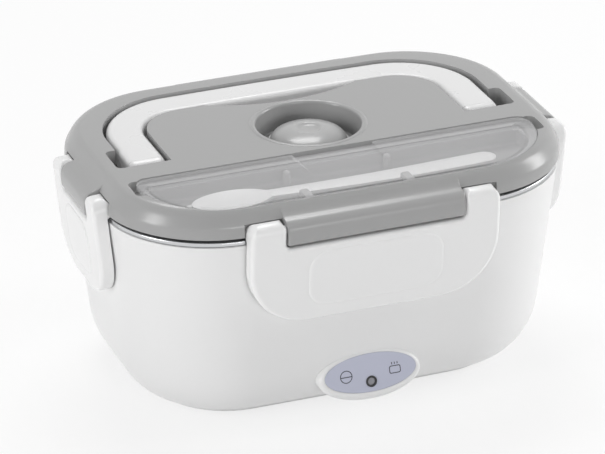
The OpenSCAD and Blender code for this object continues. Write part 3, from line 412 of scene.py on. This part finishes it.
combine(caseBody, turned(plate("lampHole", lampCircle, case["cutOut"], case["cutIn"]), podFrame(0)))
inletHole = plate("inletHole", boxPoints(*case["socket"]), case["cutOut"], case["cutIn"])
combine(caseBody, turned(inletHole, podFrame(180)))
for side, sizes in sides.items():
    half = sizes["latch"]*ribShare/2
    rib = bar("rib", case["ribShape"], -half, half)
    combine(caseBody, turned(rib, pivotFrame(side, wallTilt)), "UNION")
finished(caseBody, whitePlastic, "case", "case_plastic", "case_shell")
print("case done")

# A steel pan with a rolled rim that lies on the mouth of the case
container = {"mouth": 9.3, "steel": 0.8, "floor": 25.3, "flange": 93.2, "wallLean": 5, "fillet": 12,
             "rim": ((8.5, 94.4), (2.6, 94.4), (2.6, 93.4), (2.3, 93.2), (0.9, 93.2), (0.5, 93.3),
                     (0.3, 93.6), (0.3, 94.7), (0.45, 95.05), (0.9, 95.2), (8.2, 95.2), (8.9, 95.1),
                     (9.3, 94.7))}


def filletRings(grow):
    radius = container["fillet"] - grow
    height = container["flange"] - container["floor"]
    rings = []
    for k in range(11):
        a = math.pi/2*k/10
        z = container["floor"] + grow + radius*(1 - math.cos(a))
        drawn = grow + radius*(1 - math.sin(a))
        lean = container["wallLean"]*(container["flange"] - z)/height
        inset = container["mouth"] - container["steel"] + lean + drawn
        rings.append(caseRing(inset, z, container["mouth"] + drawn))
    return rings


panRings = filletRings(0) + [caseRing(inset, z, inset) for inset, z in container["rim"]]
panRings += filletRings(container["steel"])[::-1]
containerPan = loft("containerPan", panRings)
finished(containerPan, containerSteel, "container", "container_steel", "food_container", angle=50)
print("container done")

# The clear cover is straight at the rear and wide and round in front, and the lid's compartment follows it
cover = {"half": 92, "rear": -25, "front": -68.2, "rearRadius": 6, "frontRadius": 36,
         "section": ((-5.1, 105.6), (-3.9, 105.6), (-3.9, 107.2), (-0.3, 107.2), (0, 107.5), (0, 108.8),
                     (-0.12, 109.08), (-0.4, 109.2), (-1.5, 109.2), (-5.1, 109.2)),
         "roomGrow": -5.1, "roomLow": 100, "paneLow": 107.2, "grip": ((17.5, -49, 109.2), (19, -24, 107.7))}


def coverRing(grow, z):
    rearX, rearY = cover["half"] - cover["rearRadius"], cover["rear"] - cover["rearRadius"]
    frontX, frontY = cover["half"] - cover["frontRadius"], cover["front"] + cover["frontRadius"]
    points = arcPoints(rearX, rearY, cover["rearRadius"] + grow, 0, 8)
    points += between(rearX, -rearX, cover["rear"] + grow, 16)
    points += arcPoints(-rearX, rearY, cover["rearRadius"] + grow, 90, 8)
    points += arcPoints(-frontX, frontY, cover["frontRadius"] + grow, 180, 24)
    points += between(-frontX, frontX, cover["front"] - grow, 16)
    points += arcPoints(frontX, frontY, cover["frontRadius"] + grow, 270, 24)
    bowed = []
    for x, y in points:
        forward = max(0, rearY - y)/(rearY - cover["front"])
        bowed.append((x, y + outline["sideBow"]*(x/cover["half"])**2*forward, z))
    return bowed


# Steps are pairs: a radius, an inset or how much narrower the cutter is, and the height
lid = {
    "over": 1,  # how far the lid stands out past the case
    "underside": ((10.6, 95.3), (10.6, 99.5), (5.3, 99.5), (5.3, 96.9)),
    "shoulder": ((0.6, 96.9), (0.2, 97.02), (0, 97.4), (0.08, 98.5), (0.2, 100.6), (0.4, 102), (0.75, 102.9),
                 (1.4, 104.1), (2, 105.2), (2.5, 106), (3.1, 106.9), (4, 107.9), (5.2, 108.75), (6.4, 109.25),
                 (7.8, 109.5), (12, 109.5)),
    "above": 112,  # cutters end here, over the top of the lid
    "tongueEnds": ((0, 0.09), (0.25, 0.035), (0.8, 0)), "tongueMiddle": (2.5, 2),
    "wellY": 3.4, "bead": (25.1, 1.7, 108.3), "stemHole": 3.9, "stemHoleEnds": (94, 99),
    "well": ((21.8, 97.5), (22.6, 97.65), (23.1, 98.1), (23.2, 98.8), (23.4, 108.6), (23.9, 109.5),
             (24.6, 110.4)),
    "ledgeGrow": 0.4, "ledgeLow": 107,
    "compartment": ((-5.5, 98), (-4.8, 98.15), (-4.1, 98.6), (-3.7, 99.3), (-3.6, 100.2), (-3.6, 112)),
    "thumbX": 90, "thumbY": -34, "thumbSize": (10.4, 15, 3),
    "thumbSteps": ((1.6, 104.5), (0.6, 104.7), (0, 105.4), (0, 112)),
    "channel": (178, 118, 38), "channelSteps": ((1.2, 99.6), (0.3, 99.75), (0, 100.2), (0, 112)),
    "island": (138.8, 80.4, 19.2),
    "islandSteps": ((1.2, 99), (1.2, 99.6), (0.3, 99.75), (0, 100.2), (0, 113)),
    "channelFront": ((-100, 90), (100, 90), (100, 115), (-100, 115)), "channelFrontEnds": (-11, -90),
    "endPocketX": 81.7, "endPocketY": -1.5, "endPocket": (24.6, 19, 2.6), "endPocketLow": 97.4,
    "pinBore": 2.46, "pinBoreEnds": (87, 97.8),
    "scoop": ((74, 99.6), (75.2, 100.6), (77.9, 107.6), (78.9, 109.2), (79.6, 109.9), (80.4, 111)),
    "scoopY": 110, "scoopLimit": ((-87, 0), (87, 0), (87, 41.2), (-87, 41.2)), "scoopLimitEnds": (90, 115),
    "earRoom": 5, "earGap": 0.6, "pegBore": 2.1, "pegDepth": 5,
    "standX": 23.5, "postY": -31, "tabY": -58.6, "tabSize": (4.2, 14.2, 0.9),
    "post": ((1.7, 97.5), (1.7, 103.3), (1.6, 103.9), (1.25, 104.5), (0.7, 104.87), (0.15, 105)),
    "tab": ((0.6, 102.4), (0, 102.7), (0, 104.5), (0.8, 105)),
}
tongueShape = [(7.4, 9.9), (6.2, 9), (5, 7.9), (4, 6.7), (3, 5.75), (1.8, 5.05), (0.6, 4.72), (-0.6, 4.5),
               (-1.8, 4.05), (-2.8, 3.3), (-3.6, 2.3), (-4.1, 1.1), (-4.3, -0.2), (-4.3, -2.6), (-4.2, -4.4),
               (-4, -5.6), (-3.6, -6.2), (-3, -6.4), (-2.4, -6.2), (-2.1, -5.6), (-2, -4.2), (-2, -2.8),
               (0, -2.6), (3, -2.6), (8, -2.6), (9.5, 0), (9.5, 9)]

lidSteps = [(inset - lid["over"], z) for inset, z in lid["underside"] + lid["shoulder"]]
lidShell = loft("lidShell", [caseRing(inset, z, inset) for inset, z in lidSteps])
middleY, middleZ = lid["tongueMiddle"]
for side, sizes in sides.items():
    end = sizes["tongue"]/2
    stations = [(inset - end, shrink) for inset, shrink in lid["tongueEnds"]] + [(0, 0)]
    stations += [(end - inset, shrink) for inset, shrink in lid["tongueEnds"][::-1]]
    rings = []
    for x, shrink in stations:
        rings.append([(x, y + (middleY - y)*shrink, z + (middleZ - z)*shrink) for y, z in tongueShape])
    combine(lidShell, turned(loft("tongue", rings), pivotFrame(side)), "UNION")
print("lid block done")

beadRadius, beadThick, beadHeight = lid["bead"]
bpy.ops.mesh.primitive_torus_add(location=(0, lid["wellY"]*mm, beadHeight*mm), major_radius=beadRadius*mm,
                                 minor_radius=beadThick*mm, major_segments=128, minor_segments=24)
combine(lidShell, bpy.context.active_object, "UNION")
combine(lidShell, loft("ledge", [coverRing(lid["ledgeGrow"], z) for z in (lid["ledgeLow"], lid["above"])]))
combine(lidShell, loft("compartment", [coverRing(grow, z) for grow, z in lid["compartment"]]))
length, width, radius = lid["thumbSize"]
for x in (-lid["thumbX"], lid["thumbX"]):
    thumbRings = []
    for d, z in lid["thumbSteps"]:
        thumbRings.append(boxRing(x, lid["thumbY"], length - d, width - d, radius - d/2, z))
    combine(lidShell, loft("thumbPocket", thumbRings))

# The handle's channel is a ring round an island, cut off in front
length, width, radius = lid["channel"]
channelRings = [outlineRing(length - d, width - d, radius - d/2, z) for d, z in lid["channelSteps"]]
channel = loft("channel", channelRings)
length, width, radius = lid["island"]
islandRings = [outlineRing(length + d, width + d, radius + d/2, z) for d, z in lid["islandSteps"]]
combine(channel, loft("island", islandRings))
combine(channel, plate("front", lid["channelFront"], *lid["channelFrontEnds"]))
combine(lidShell, channel)
for sign in (-1, 1):
    place = (sign*lid["endPocketX"], lid["endPocketY"])
    pocketRings = [boxRing(*place, *lid["endPocket"], z) for z in (lid["endPocketLow"], lid["above"])]
    combine(lidShell, loft("endPocket", pocketRings))
    start, stop = (sign*end for end in lid["pinBoreEnds"])
    combine(lidShell, rod("pinBore", lid["pinBore"], start, stop, *handlePivot))

# Finger scoop behind the handle, kept clear of the rear wall
scoop = loft("scoop", [roundRing(0, lid["scoopY"], r, z, 256) for r, z in lid["scoop"]])
combine(scoop, loft("keep", [atLevel(lid["scoopLimit"], z) for z in lid["scoopLimitEnds"]]), "INTERSECT")
combine(lidShell, scoop)
combine(lidShell, loft("well", [roundRing(0, lid["wellY"], r, z, 128) for r, z in lid["well"]]))
stemRings = [roundRing(0, lid["wellY"], lid["stemHole"], z, 48) for z in lid["stemHoleEnds"]]
combine(lidShell, loft("stemHole", stemRings))

# Rooms for the latches' ears and bores for their pegs
rooms, bores = [], []
for side, sizes in sides.items():
    for sign in (-1, 1):
        start, stop = sign*sizes["tongue"]/2, sign*(sizes["latch"]/2 + lid["earGap"])
        rooms.append(turned(rod("earRoom", lid["earRoom"], start, stop), pivotFrame(side)))
        bore = rod("pegBore", lid["pegBore"], start - sign*lid["pegDepth"], start + sign)
        bores.append(turned(bore, pivotFrame(side)))
combine(lidShell, joined(rooms))
combine(lidShell, joined(bores))

# Posts and tabs that hold the cutlery
length, width, radius = lid["tabSize"]
stands = []
for x in (-lid["standX"], lid["standX"]):
    stands.append(loft("post", [roundRing(x, lid["postY"], r, z, 32) for r, z in lid["post"]]))
    tabRings = [boxRing(x, lid["tabY"], length - d, width - d, radius - d/4, z) for d, z in lid["tab"]]
    stands.append(loft("tab", tabRings))
combine(lidShell, joined(stands), "UNION")
finished(lidShell, greyPlastic, "lid", "lid_plastic", "lid_shell")
print("lid done")

# A U-shaped bar with two pins, cored from below
handle = {"length": 174.4, "rear": 58, "width": 16.8, "thick": 9, "radius": 37, "edge": 2.6, "low": 100,
          "sideLow": 0.3, "sideHigh": 3, "topPoints": (4, 2, 0, -2, -4), "armPoints": (8, 15), "armBow": 0.53,
          "pin": 2.4, "pinEnds": (86, 97.4),
          "boss": ((8.35, 2.9), (8.1, 3.9), (7.3, 4.9), (6.3, 5.35), (5.3, 5.45)),
          "coreRadius": 1, "coreEnds": (99, 106.6),
          "rearCore": (49.1, 12.4, 12), "rearStep": 14, "armCore": (12, 7), "armCoreY": (7, 15.6)}
handleHalf = handle["width"]/2
armX = handle["length"]/2 - handleHalf
rearY = handle["rear"] - handleHalf
bend = handle["radius"] - handleHalf


# The bar's middle line from the left arm's end round to the right arm's, with the way that it faces
def handlePath():
    arm = [(armX, handlePivot[0] + handle["armBow"], 0)] + [(armX, y, 0) for y in handle["armPoints"]]
    for a in [math.pi/2*k/24 for k in range(25)]:
        arm.append((armX - bend + bend*math.cos(a), rearY - bend + bend*math.sin(a), a))
    path = [(-x, y, math.pi - a) for x, y, a in arm]
    path += [(k*(armX - bend)/6, rearY, math.pi/2) for k in range(-5, 6)]
    return path + arm[::-1]


edge, chamfer = handle["edge"], handle["sideLow"]
corner = arcPoints(handleHalf - edge, handle["thick"] - edge, edge, 0, 6)
flank = [(handleHalf, chamfer), (handleHalf, handle["sideHigh"])] + corner
section = flank + [(u, handle["thick"]) for u in handle["topPoints"]] + mirrored(flank)
section += [(chamfer - handleHalf, 0), (handleHalf - chamfer, 0)]
handleRings = []
for x, y, a in handlePath():
    bow = outline["sideBow"]*(min(abs(x), armX - bend)/armX)**2
    if y <= handle["armPoints"][0]:
        bow = handle["armBow"]
    handleRings.append([(x + u*math.cos(a), y - bow + u*math.sin(a), handle["low"] + v) for u, v in section])
handleBar = loft("carryHandle", handleRings)
coreY, length, width = handle["rearCore"]
cores = [(handle["rearStep"]*k, coreY, length, width) for k in range(-3, 4)]
cores += [(sign*armX, y, *handle["armCore"]) for sign in (-1, 1) for y in handle["armCoreY"]]
for place in cores:
    coreRings = [boxRing(*place, handle["coreRadius"], z) for z in handle["coreEnds"]]
    combine(handleBar, loft("core", coreRings))
bossSteps = [(-u, r) for u, r in handle["boss"]] + list(handle["boss"][::-1])
for sign in (-1, 1):
    rings = []
    for u, r in bossSteps:
        rings.append([(sign*armX + u, y, z) for y, z in ovalPoints(*handlePivot, r, r, 64)])
    combine(handleBar, loft("boss", rings), "UNION")
    start, stop = (sign*end for end in handle["pinEnds"])
    combine(handleBar, rod("pin", handle["pin"], start, stop, *handlePivot), "UNION")
finished(handleBar, handlePlastic, "carry_handle", "case_plastic", "handle")
print("handle done")

# A round plug with a barbed stem, a flat foot and a dome with a dimple on top
valve = {"domeRadius": 17.3, "domeHeight": 7.2, "domeFoot": 100.7, "fullness": 0.8, "dimple": 6.4,
         "stem": ((2.7, 88.5), (4.8, 90.2), (4.8, 91), (3.5, 91.05), (3.5, 99.5)),
         "foot": ((18.6, 99.5), (19, 99.8), (19, 100.2), (18.6, 100.6), (18, 100.7)),
         "dimpleSteps": ((6, 0.02), (5.5, -0.2), (5, -0.6), (4.3, -0.95), (2.5, -1.15), (0.2, -1.2))}
dome = []
for a in [math.pi/2*k/22 for k in range(23)]:
    r = valve["domeRadius"]*math.cos(a)
    z = valve["domeFoot"] + valve["domeHeight"]*math.sin(a)**valve["fullness"]
    if r > valve["dimple"]:
        dome.append((r, z))
        top = z
profile = list(valve["stem"] + valve["foot"]) + dome + [(r, top + z) for r, z in valve["dimpleSteps"]]
steamValve = loft("steamValve", [roundRing(0, lid["wellY"], r, z) for r, z in profile])
finished(steamValve, valvePlastic, "valve", "valve_plastic", "steam_valve", angle=32)
print("valve done")

coverPane = loft("cutleryCover", [coverRing(grow, z) for grow, z in cover["section"]])
roomRings = [coverRing(cover["roomGrow"], z) for z in (cover["roomLow"], cover["paneLow"])]
combine(coverPane, loft("room", roomRings))
top = lid["above"]
gripRings = [[(-half, y, z), (half, y, z), (half, y, top), (-half, y, top)] for half, y, z in cover["grip"]]
combine(coverPane, loft("grip", gripRings))
finished(coverPane, clearPlastic, "cover", "cover_clear", "cutlery_cover", angle=30)

# The spoon is drawn from the tip of its bowl along the grip to its round end
spoon = {"tip": -72, "tipGap": 0.15, "tipHalf": 0.6, "bowl": 36, "bowlHalf": 9.4, "bowlDepth": 1.2,
         "neckHalf": 3.4, "grip": 100, "gripHalf": 5.2, "gripDip": 0.8, "gripCrown": 0.6,
         "y": -45.5, "z": 102.6, "thick": 1.3, "underShare": 0.96}


def spoonRing(x, half, z, sag):
    across = [1 - k/6 for k in range(13)]
    upper = [(u*half, z - sag*(1 - u*u)) for u in across]
    lower = [(y*spoon["underShare"], z - spoon["thick"]) for y, z in upper[::-1]]
    return [(x, spoon["y"] + y, z) for y, z in upper + lower]


spoonRings = []
for k in range(19):
    x = spoon["bowl"]*(1 - math.cos(math.pi*k/20))/2 + spoon["tipGap"]
    least = spoon["neckHalf"] if x > spoon["bowl"]/2 else spoon["tipHalf"]
    half = max(spoon["bowlHalf"]*math.sqrt(max(0, 1 - (2*x/spoon["bowl"] - 1)**2)), least)
    sag = spoon["bowlDepth"]*math.sin(math.pi*x/spoon["bowl"])**1.5
    spoonRings.append(spoonRing(spoon["tip"] + x, half, spoon["z"], sag))
gripX = spoon["tip"] + spoon["bowl"]
for u in [k/16 for k in range(17)]:
    half = spoon["neckHalf"] + (spoon["gripHalf"] - spoon["neckHalf"])*math.sin(math.pi/2*u)
    z = spoon["z"] - spoon["gripDip"]*math.sin(math.pi*u)
    spoonRings.append(spoonRing(gripX + u*spoon["grip"], half, z, -spoon["gripCrown"]))
for a in [math.radians(14.5*k) for k in range(1, 7)]:
    x, half = gripX + spoon["grip"] + spoon["gripHalf"]*math.sin(a), spoon["gripHalf"]*math.cos(a)
    spoonRings.append(spoonRing(x, half, spoon["z"], -spoon["gripCrown"]*math.cos(a)))
servingSpoon = loft("servingSpoon", spoonRings)
finished(servingSpoon, cutleryPlastic, "spoon", "cutlery_plastic", "spoon", angle=50)
print("cutlery done")

# A latch hangs from its knuckle: a tray with two ears, a hook, two ribs and a raised thumb pad
latch = {"height": 45, "neck": 7.6, "wall": 2.2, "knuckle": 4.5, "rounding": 2.1, "backs": (1.5, 4.6),
         "earOuter": 6, "earInner": 3.8, "innerLeast": 0.4, "neckRadius": 2.2, "earGap": 0.4,
         "peg": 2, "pegEnds": (-5, 1), "wrap": 65, "wallBack": ((1.9, -4.6), (1.9, -46)),
         "hollowEnds": (-2.3, 3), "hollowCut": 1,
         "hook": ((-2.8, -20), (0.2, -20), (0, -21), (-2.8, -24.2)), "hookInset": 4,
         "rib": (1.4, -43.3, -8.1), "ribEnds": (-2.8, -0.3),
         "padShare": 0.54, "padHeight": 27, "padZ": -24.6, "padRadius": 9,
         "padSteps": ((0, -4.0), (0, -4.55), (0.3, -4.75), (1, -4.87), (2.2, -4.9))}


# Outline of the latch seen from outside, drawn in by d
def latchOutline(sizes, d):
    half, low, top = sizes["latch"]/2 - d, d - latch["height"], latch["knuckle"] - d
    earX = sizes["tongue"]/2 + latch["earGap"] + d
    r = sizes["corner"] - d
    lowLeft = arcPoints(r - half, low + r, r, 180, 20)
    outerR, innerR = latch["earOuter"] - d, max(latch["innerLeast"], latch["earInner"] - d)
    right = arcPoints(half - outerR, top - outerR, outerR, 0, 8)
    right += arcPoints(earX + innerR, top - innerR, innerR, 90, 4)
    neckR = latch["neckRadius"] + d
    right += arcPoints(earX - neckR, neckR - latch["neck"] - d, neckR, 0, 6, -90)
    stop = right[-1][0]
    points = lowLeft + between(r - half, half - r, low, 12) + mirrored(lowLeft)
    return points + right + between(stop, -stop, -latch["neck"] - d, 12) + mirrored(right)


def latchPiece(name, sizes):
    width = sizes["latch"]
    rings = []
    for a in [math.pi/2*k/7 for k in range(8)]:
        shape = latchOutline(sizes, latch["rounding"]*(1 - math.sin(a)))
        y = latch["rounding"]*(1 - math.cos(a)) - latch["knuckle"]
        rings.append([(x, y, z) for x, z in shape])
    for y in latch["backs"]:
        rings.append([(x, y, z) for x, z in latchOutline(sizes, 0)])
    piece = loft(name, rings)
    r = latch["knuckle"]
    sideView = [(-r, latch["wallBack"][1][1]), (-r, 0)]
    sideView += [(-r*math.cos(a), r*math.sin(a)) for a in [math.pi*k/32 for k in range(1, 32)]]
    sideView += arcPoints(0, 0, r, 0, 8, -latch["wrap"])
    sideView += latch["wallBack"]
    combine(piece, bar("side", sideView, -width/2 - 1, width/2 + 1), "INTERSECT")
    wall, cut = latch["wall"], latch["hollowCut"]
    half, low, top = width/2 - wall, wall - latch["height"], -latch["neck"] - wall
    r = sizes["corner"] - wall
    hollow = arcPoints(r - half, low + r, r, 180, 16) + arcPoints(half - r, low + r, r, 270, 16)
    hollow += [(half, top - cut), (half - cut, top), (cut - half, top), (-half, top - cut)]
    combine(piece, plate("hollow", hollow, *latch["hollowEnds"]))
    hookHalf = (width*ribShare - latch["hookInset"])/2
    combine(piece, bar("hook", latch["hook"], -hookHalf, hookHalf), "UNION")
    thick, low, top = latch["rib"]
    earX = sizes["tongue"]/2 + latch["earGap"]
    for sign in (-1, 1):
        left = sign*(hookHalf + latch["hookInset"]) - thick/2
        strip = [(left, low), (left + thick, low), (left + thick, top), (left, top)]
        combine(piece, plate("rib", strip, *latch["ribEnds"]), "UNION")
        start, stop = (sign*(earX + end) for end in latch["pegEnds"])
        combine(piece, rod("peg", latch["peg"], start, stop), "UNION")
    padWidth, padHeight, padRadius = width*latch["padShare"], latch["padHeight"], latch["padRadius"]
    pad = []
    for d, y in latch["padSteps"]:
        shape = boxPoints(0, latch["padZ"], padWidth - 2*d, padHeight - 2*d, padRadius - d, 12)
        pad.append([(x, y, z) for x, z in shape])
    combine(piece, loft("pad", pad), "UNION")
    return piece


# Each latch is modelled once and copied for the opposite side
latches = [latchPiece("latchFront", longSide), latchPiece("latchRight", shortSide)]
latches += [copied(latches[0], "latchBack"), copied(latches[1], "latchLeft")]
for side, place, piece in zip(sides, ("front", "right", "back", "left"), latches):
    turned(piece, pivotFrame(side, wallTilt))
    finished(piece, latchPlastic, place + "_latch", "case_plastic", "latch_" + place)
print("latches done")

# The oval film round the lamp, and two line icons that stand on it: a bowl in a ring on the left, a warm box
# with steam on the right
label = {"halfLength": 21.4, "halfHeight": 8.6, "up": 1,
         "section": ((0.2, 0), (-0.12, 0), (-0.2, 0.05), (-0.24, 0.25), (-0.25, 0.6)),
         "holeEnds": (-1, 1), "markFront": -0.275, "loopBack": -0.24, "barBack": -0.2,
         "ringPlace": (-11.5, 0.9), "ringRadii": (2.9, 2.5), "bowl": (-11.5, 0.75, 5.2, 0.42, 0.2),
         "boxOuter": (11.4, 0.5, 5.4, 3.6, 0.9), "boxInner": (11.4, 0.5, 4.6, 2.8, 0.6),
         "steamX": (10.1, 11.4, 12.7), "steam": (3.35, 0.4, 1.1, 0.19)}
labelRings = []
for y, d in label["section"]:
    oval = ovalPoints(0, label["up"], label["halfLength"] - d, label["halfHeight"] - d)
    labelRings.append([(x, y, z) for x, z in oval])
labelPiece = loft("controlLabel", labelRings)
combine(labelPiece, plate("lampHole", lampCircle, *label["holeEnds"]))
finished(turned(labelPiece, podFrame(0)), labelFilm, "case", "label_film", "control_label")


def lineLoop(name, outer, inner):
    back, front = label["loopBack"], label["markFront"]
    steps = ((outer, back), (outer, front), (inner, front), (inner, back))
    return loft(name, [[(x, y, z) for x, z in points] for points, y in steps], closed=True)


def markBar(name, *shape):
    return plate(name, boxPoints(*shape), label["markFront"], label["barBack"])


outer, inner = (ovalPoints(*label["ringPlace"], r, r, 48) for r in label["ringRadii"])
marks = [lineLoop("markRing", outer, inner), markBar("markBowl", *label["bowl"]),
         lineLoop("markBox", boxPoints(*label["boxOuter"]), boxPoints(*label["boxInner"]))]
marks += [markBar("markSteam", x, *label["steam"]) for x in label["steamX"]]
markPiece = joined(marks)
markPiece.name = markPiece.data.name = "labelMarks"
finished(turned(markPiece, podFrame(0)), markInk, "case", "label_film")
print("label done")

# CAD nodes that keep their shape get these finishes
kept = {
    "base_cover": whitePlastic, "feet": footRubber, "base_screws": fastenerSteel, "inner_liner": linerPlastic,
    "heat_plate": heaterAluminium, "ptc_heater": heaterCeramic, "heater_clamp": heaterAluminium,
    "clamp_screws": fastenerSteel, "thermostat": inletPlastic, "thermal_fuse": heaterCeramic,
    "lead_wires": wireRubber, "power_inlet": inletPlastic, "inlet_pins": pinBrass,
    "indicator_board": boardLaminate, "indicator_led": lampLens, "led_bezel": inletPlastic,
    "lid_inner_panel": panelPlastic, "lid_seal": sealSilicone, "valve_seal": sealSilicone,
    "fork": cutleryPlastic,
}
for node, material in kept.items():
    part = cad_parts[node]
    if not part.material_slots:
        part.data.materials.append(material)
    for place in part.material_slots:
        place.material = material
print("kept nodes painted")

# Lamps, camera and the floor's size are in metres. The shares say how far the floor and the backdrop turn
# white where the camera, gloss or glass sees them
studio = {"floorSize": 12, "floorDrop": 0.3, "floorTint": tint(252, 252, 252), "floorShare": 0.75,
          "floorSpecular": 0.1, "worldShare": 1, "fill": 0.3}
lamps = {
    "topBox": {"place": (0.1, 0.5, 1.1), "size": (0.6, 0.4), "watts": 6},
    "leftBox": {"place": (-1.4, -0.3, 0.5), "size": (0.4, 0.8), "watts": 8},
    "rightBox": {"place": (1.4, -0.2, 0.5), "size": (0.4, 0.8), "watts": 9},
    "frontBox": {"place": (0.1, -1.5, 0.4), "size": (0.8, 0.3), "watts": 4},
}
view = {"target": (-0.00427, 0.0013, 0.06002), "azimuth": -20.54, "elevation": 25.38, "roll": -0.77,
        "distance": 1.7234, "lens": 228.44, "sensor": 36, "farthest": 20}


def rayMath(tree, operation, first, second):
    step = tree.nodes.new("ShaderNodeMath")
    step.operation = operation
    tree.links.new(first, step.inputs[0])
    if isinstance(second, (int, float)):
        step.inputs[1].default_value = second
    else:
        tree.links.new(second, step.inputs[1])
    return step.outputs["Value"]


# The share for rays that show the studio to the camera, in gloss and in glass, and 0 for the rest
def seenRays(tree, share):
    ray = tree.nodes.new("ShaderNodeLightPath").outputs
    seen = rayMath(tree, "MAXIMUM", ray["Is Camera Ray"], ray["Is Glossy Ray"])
    seen = rayMath(tree, "MAXIMUM", seen, ray["Is Transmission Ray"])
    return rayMath(tree, "MULTIPLY", seen, share)


def mixed(tree, share, plain, seen, output):
    mix = tree.nodes.new("ShaderNodeMixShader")
    tree.links.new(seenRays(tree, share), mix.inputs["Fac"])
    tree.links.new(plain, mix.inputs[1])
    tree.links.new(seen, mix.inputs[2])
    tree.links.new(mix.outputs["Shader"], tree.nodes[output].inputs["Surface"])


bpy.ops.mesh.primitive_plane_add(size=studio["floorSize"], location=(0, 0, -studio["floorDrop"]*mm))
floor = bpy.context.active_object
floor.name = "floor"
floorPaint = surface("floorPaint", studio["floorTint"], 0.8, grain=0.01, grainSize=10, mottle=0, edge=0.1)
tree = floorPaint.node_tree
tree.nodes["Principled BSDF"].inputs["Specular IOR Level"].default_value = studio["floorSpecular"]
white = tree.nodes.new("ShaderNodeEmission")
white.inputs["Color"].default_value = (1, 1, 1, 1)
mixed(tree, studio["floorShare"], tree.nodes["Principled BSDF"].outputs["BSDF"], white.outputs["Emission"],
      "Material Output")
floor.data.materials.append(floorPaint)

world = bpy.data.worlds.new("studio")
bpy.context.scene.world = world
world.use_nodes = True
tree = world.node_tree
backdrop = tree.nodes["Background"]
ambient = tree.nodes.new("ShaderNodeBackground")
for light, strength in ((backdrop, 1), (ambient, studio["fill"])):
    light.inputs["Color"].default_value = (1, 1, 1, 1)
    light.inputs["Strength"].default_value = strength
mixed(tree, studio["worldShare"], ambient.outputs["Background"], backdrop.outputs["Background"],
      "World Output")

target = Vector(view["target"])
for name, lamp in lamps.items():
    bpy.ops.object.light_add(type="AREA", location=lamp["place"])
    softbox = bpy.context.active_object
    softbox.name = name
    softbox.data.shape = "RECTANGLE"
    softbox.data.size, softbox.data.size_y = lamp["size"]
    softbox.data.energy = lamp["watts"]
    softbox.rotation_euler = (target - Vector(lamp["place"])).to_track_quat("-Z", "Y").to_euler()

azimuth, elevation, roll = (math.radians(view[k]) for k in ("azimuth", "elevation", "roll"))
flat = math.cos(elevation)
back = Vector((math.sin(azimuth)*flat, -math.cos(azimuth)*flat, math.sin(elevation)))
right = (-back).cross(Vector((0, 0, 1))).normalized()
up = right.cross(-back)
sideways = right*math.cos(roll) + up*math.sin(roll)
upwards = up*math.cos(roll) - right*math.sin(roll)
bpy.ops.object.camera_add(location=target + back*view["distance"])
camera = bpy.context.active_object
camera.rotation_euler = Matrix((sideways, upwards, back)).transposed().to_euler()
camera.data.lens = view["lens"]
camera.data.sensor_width = view["sensor"]
camera.data.clip_end = view["farthest"]
bpy.context.scene.camera = camera
bpy.context.scene.view_settings.view_transform = "Standard"
print("stage done")
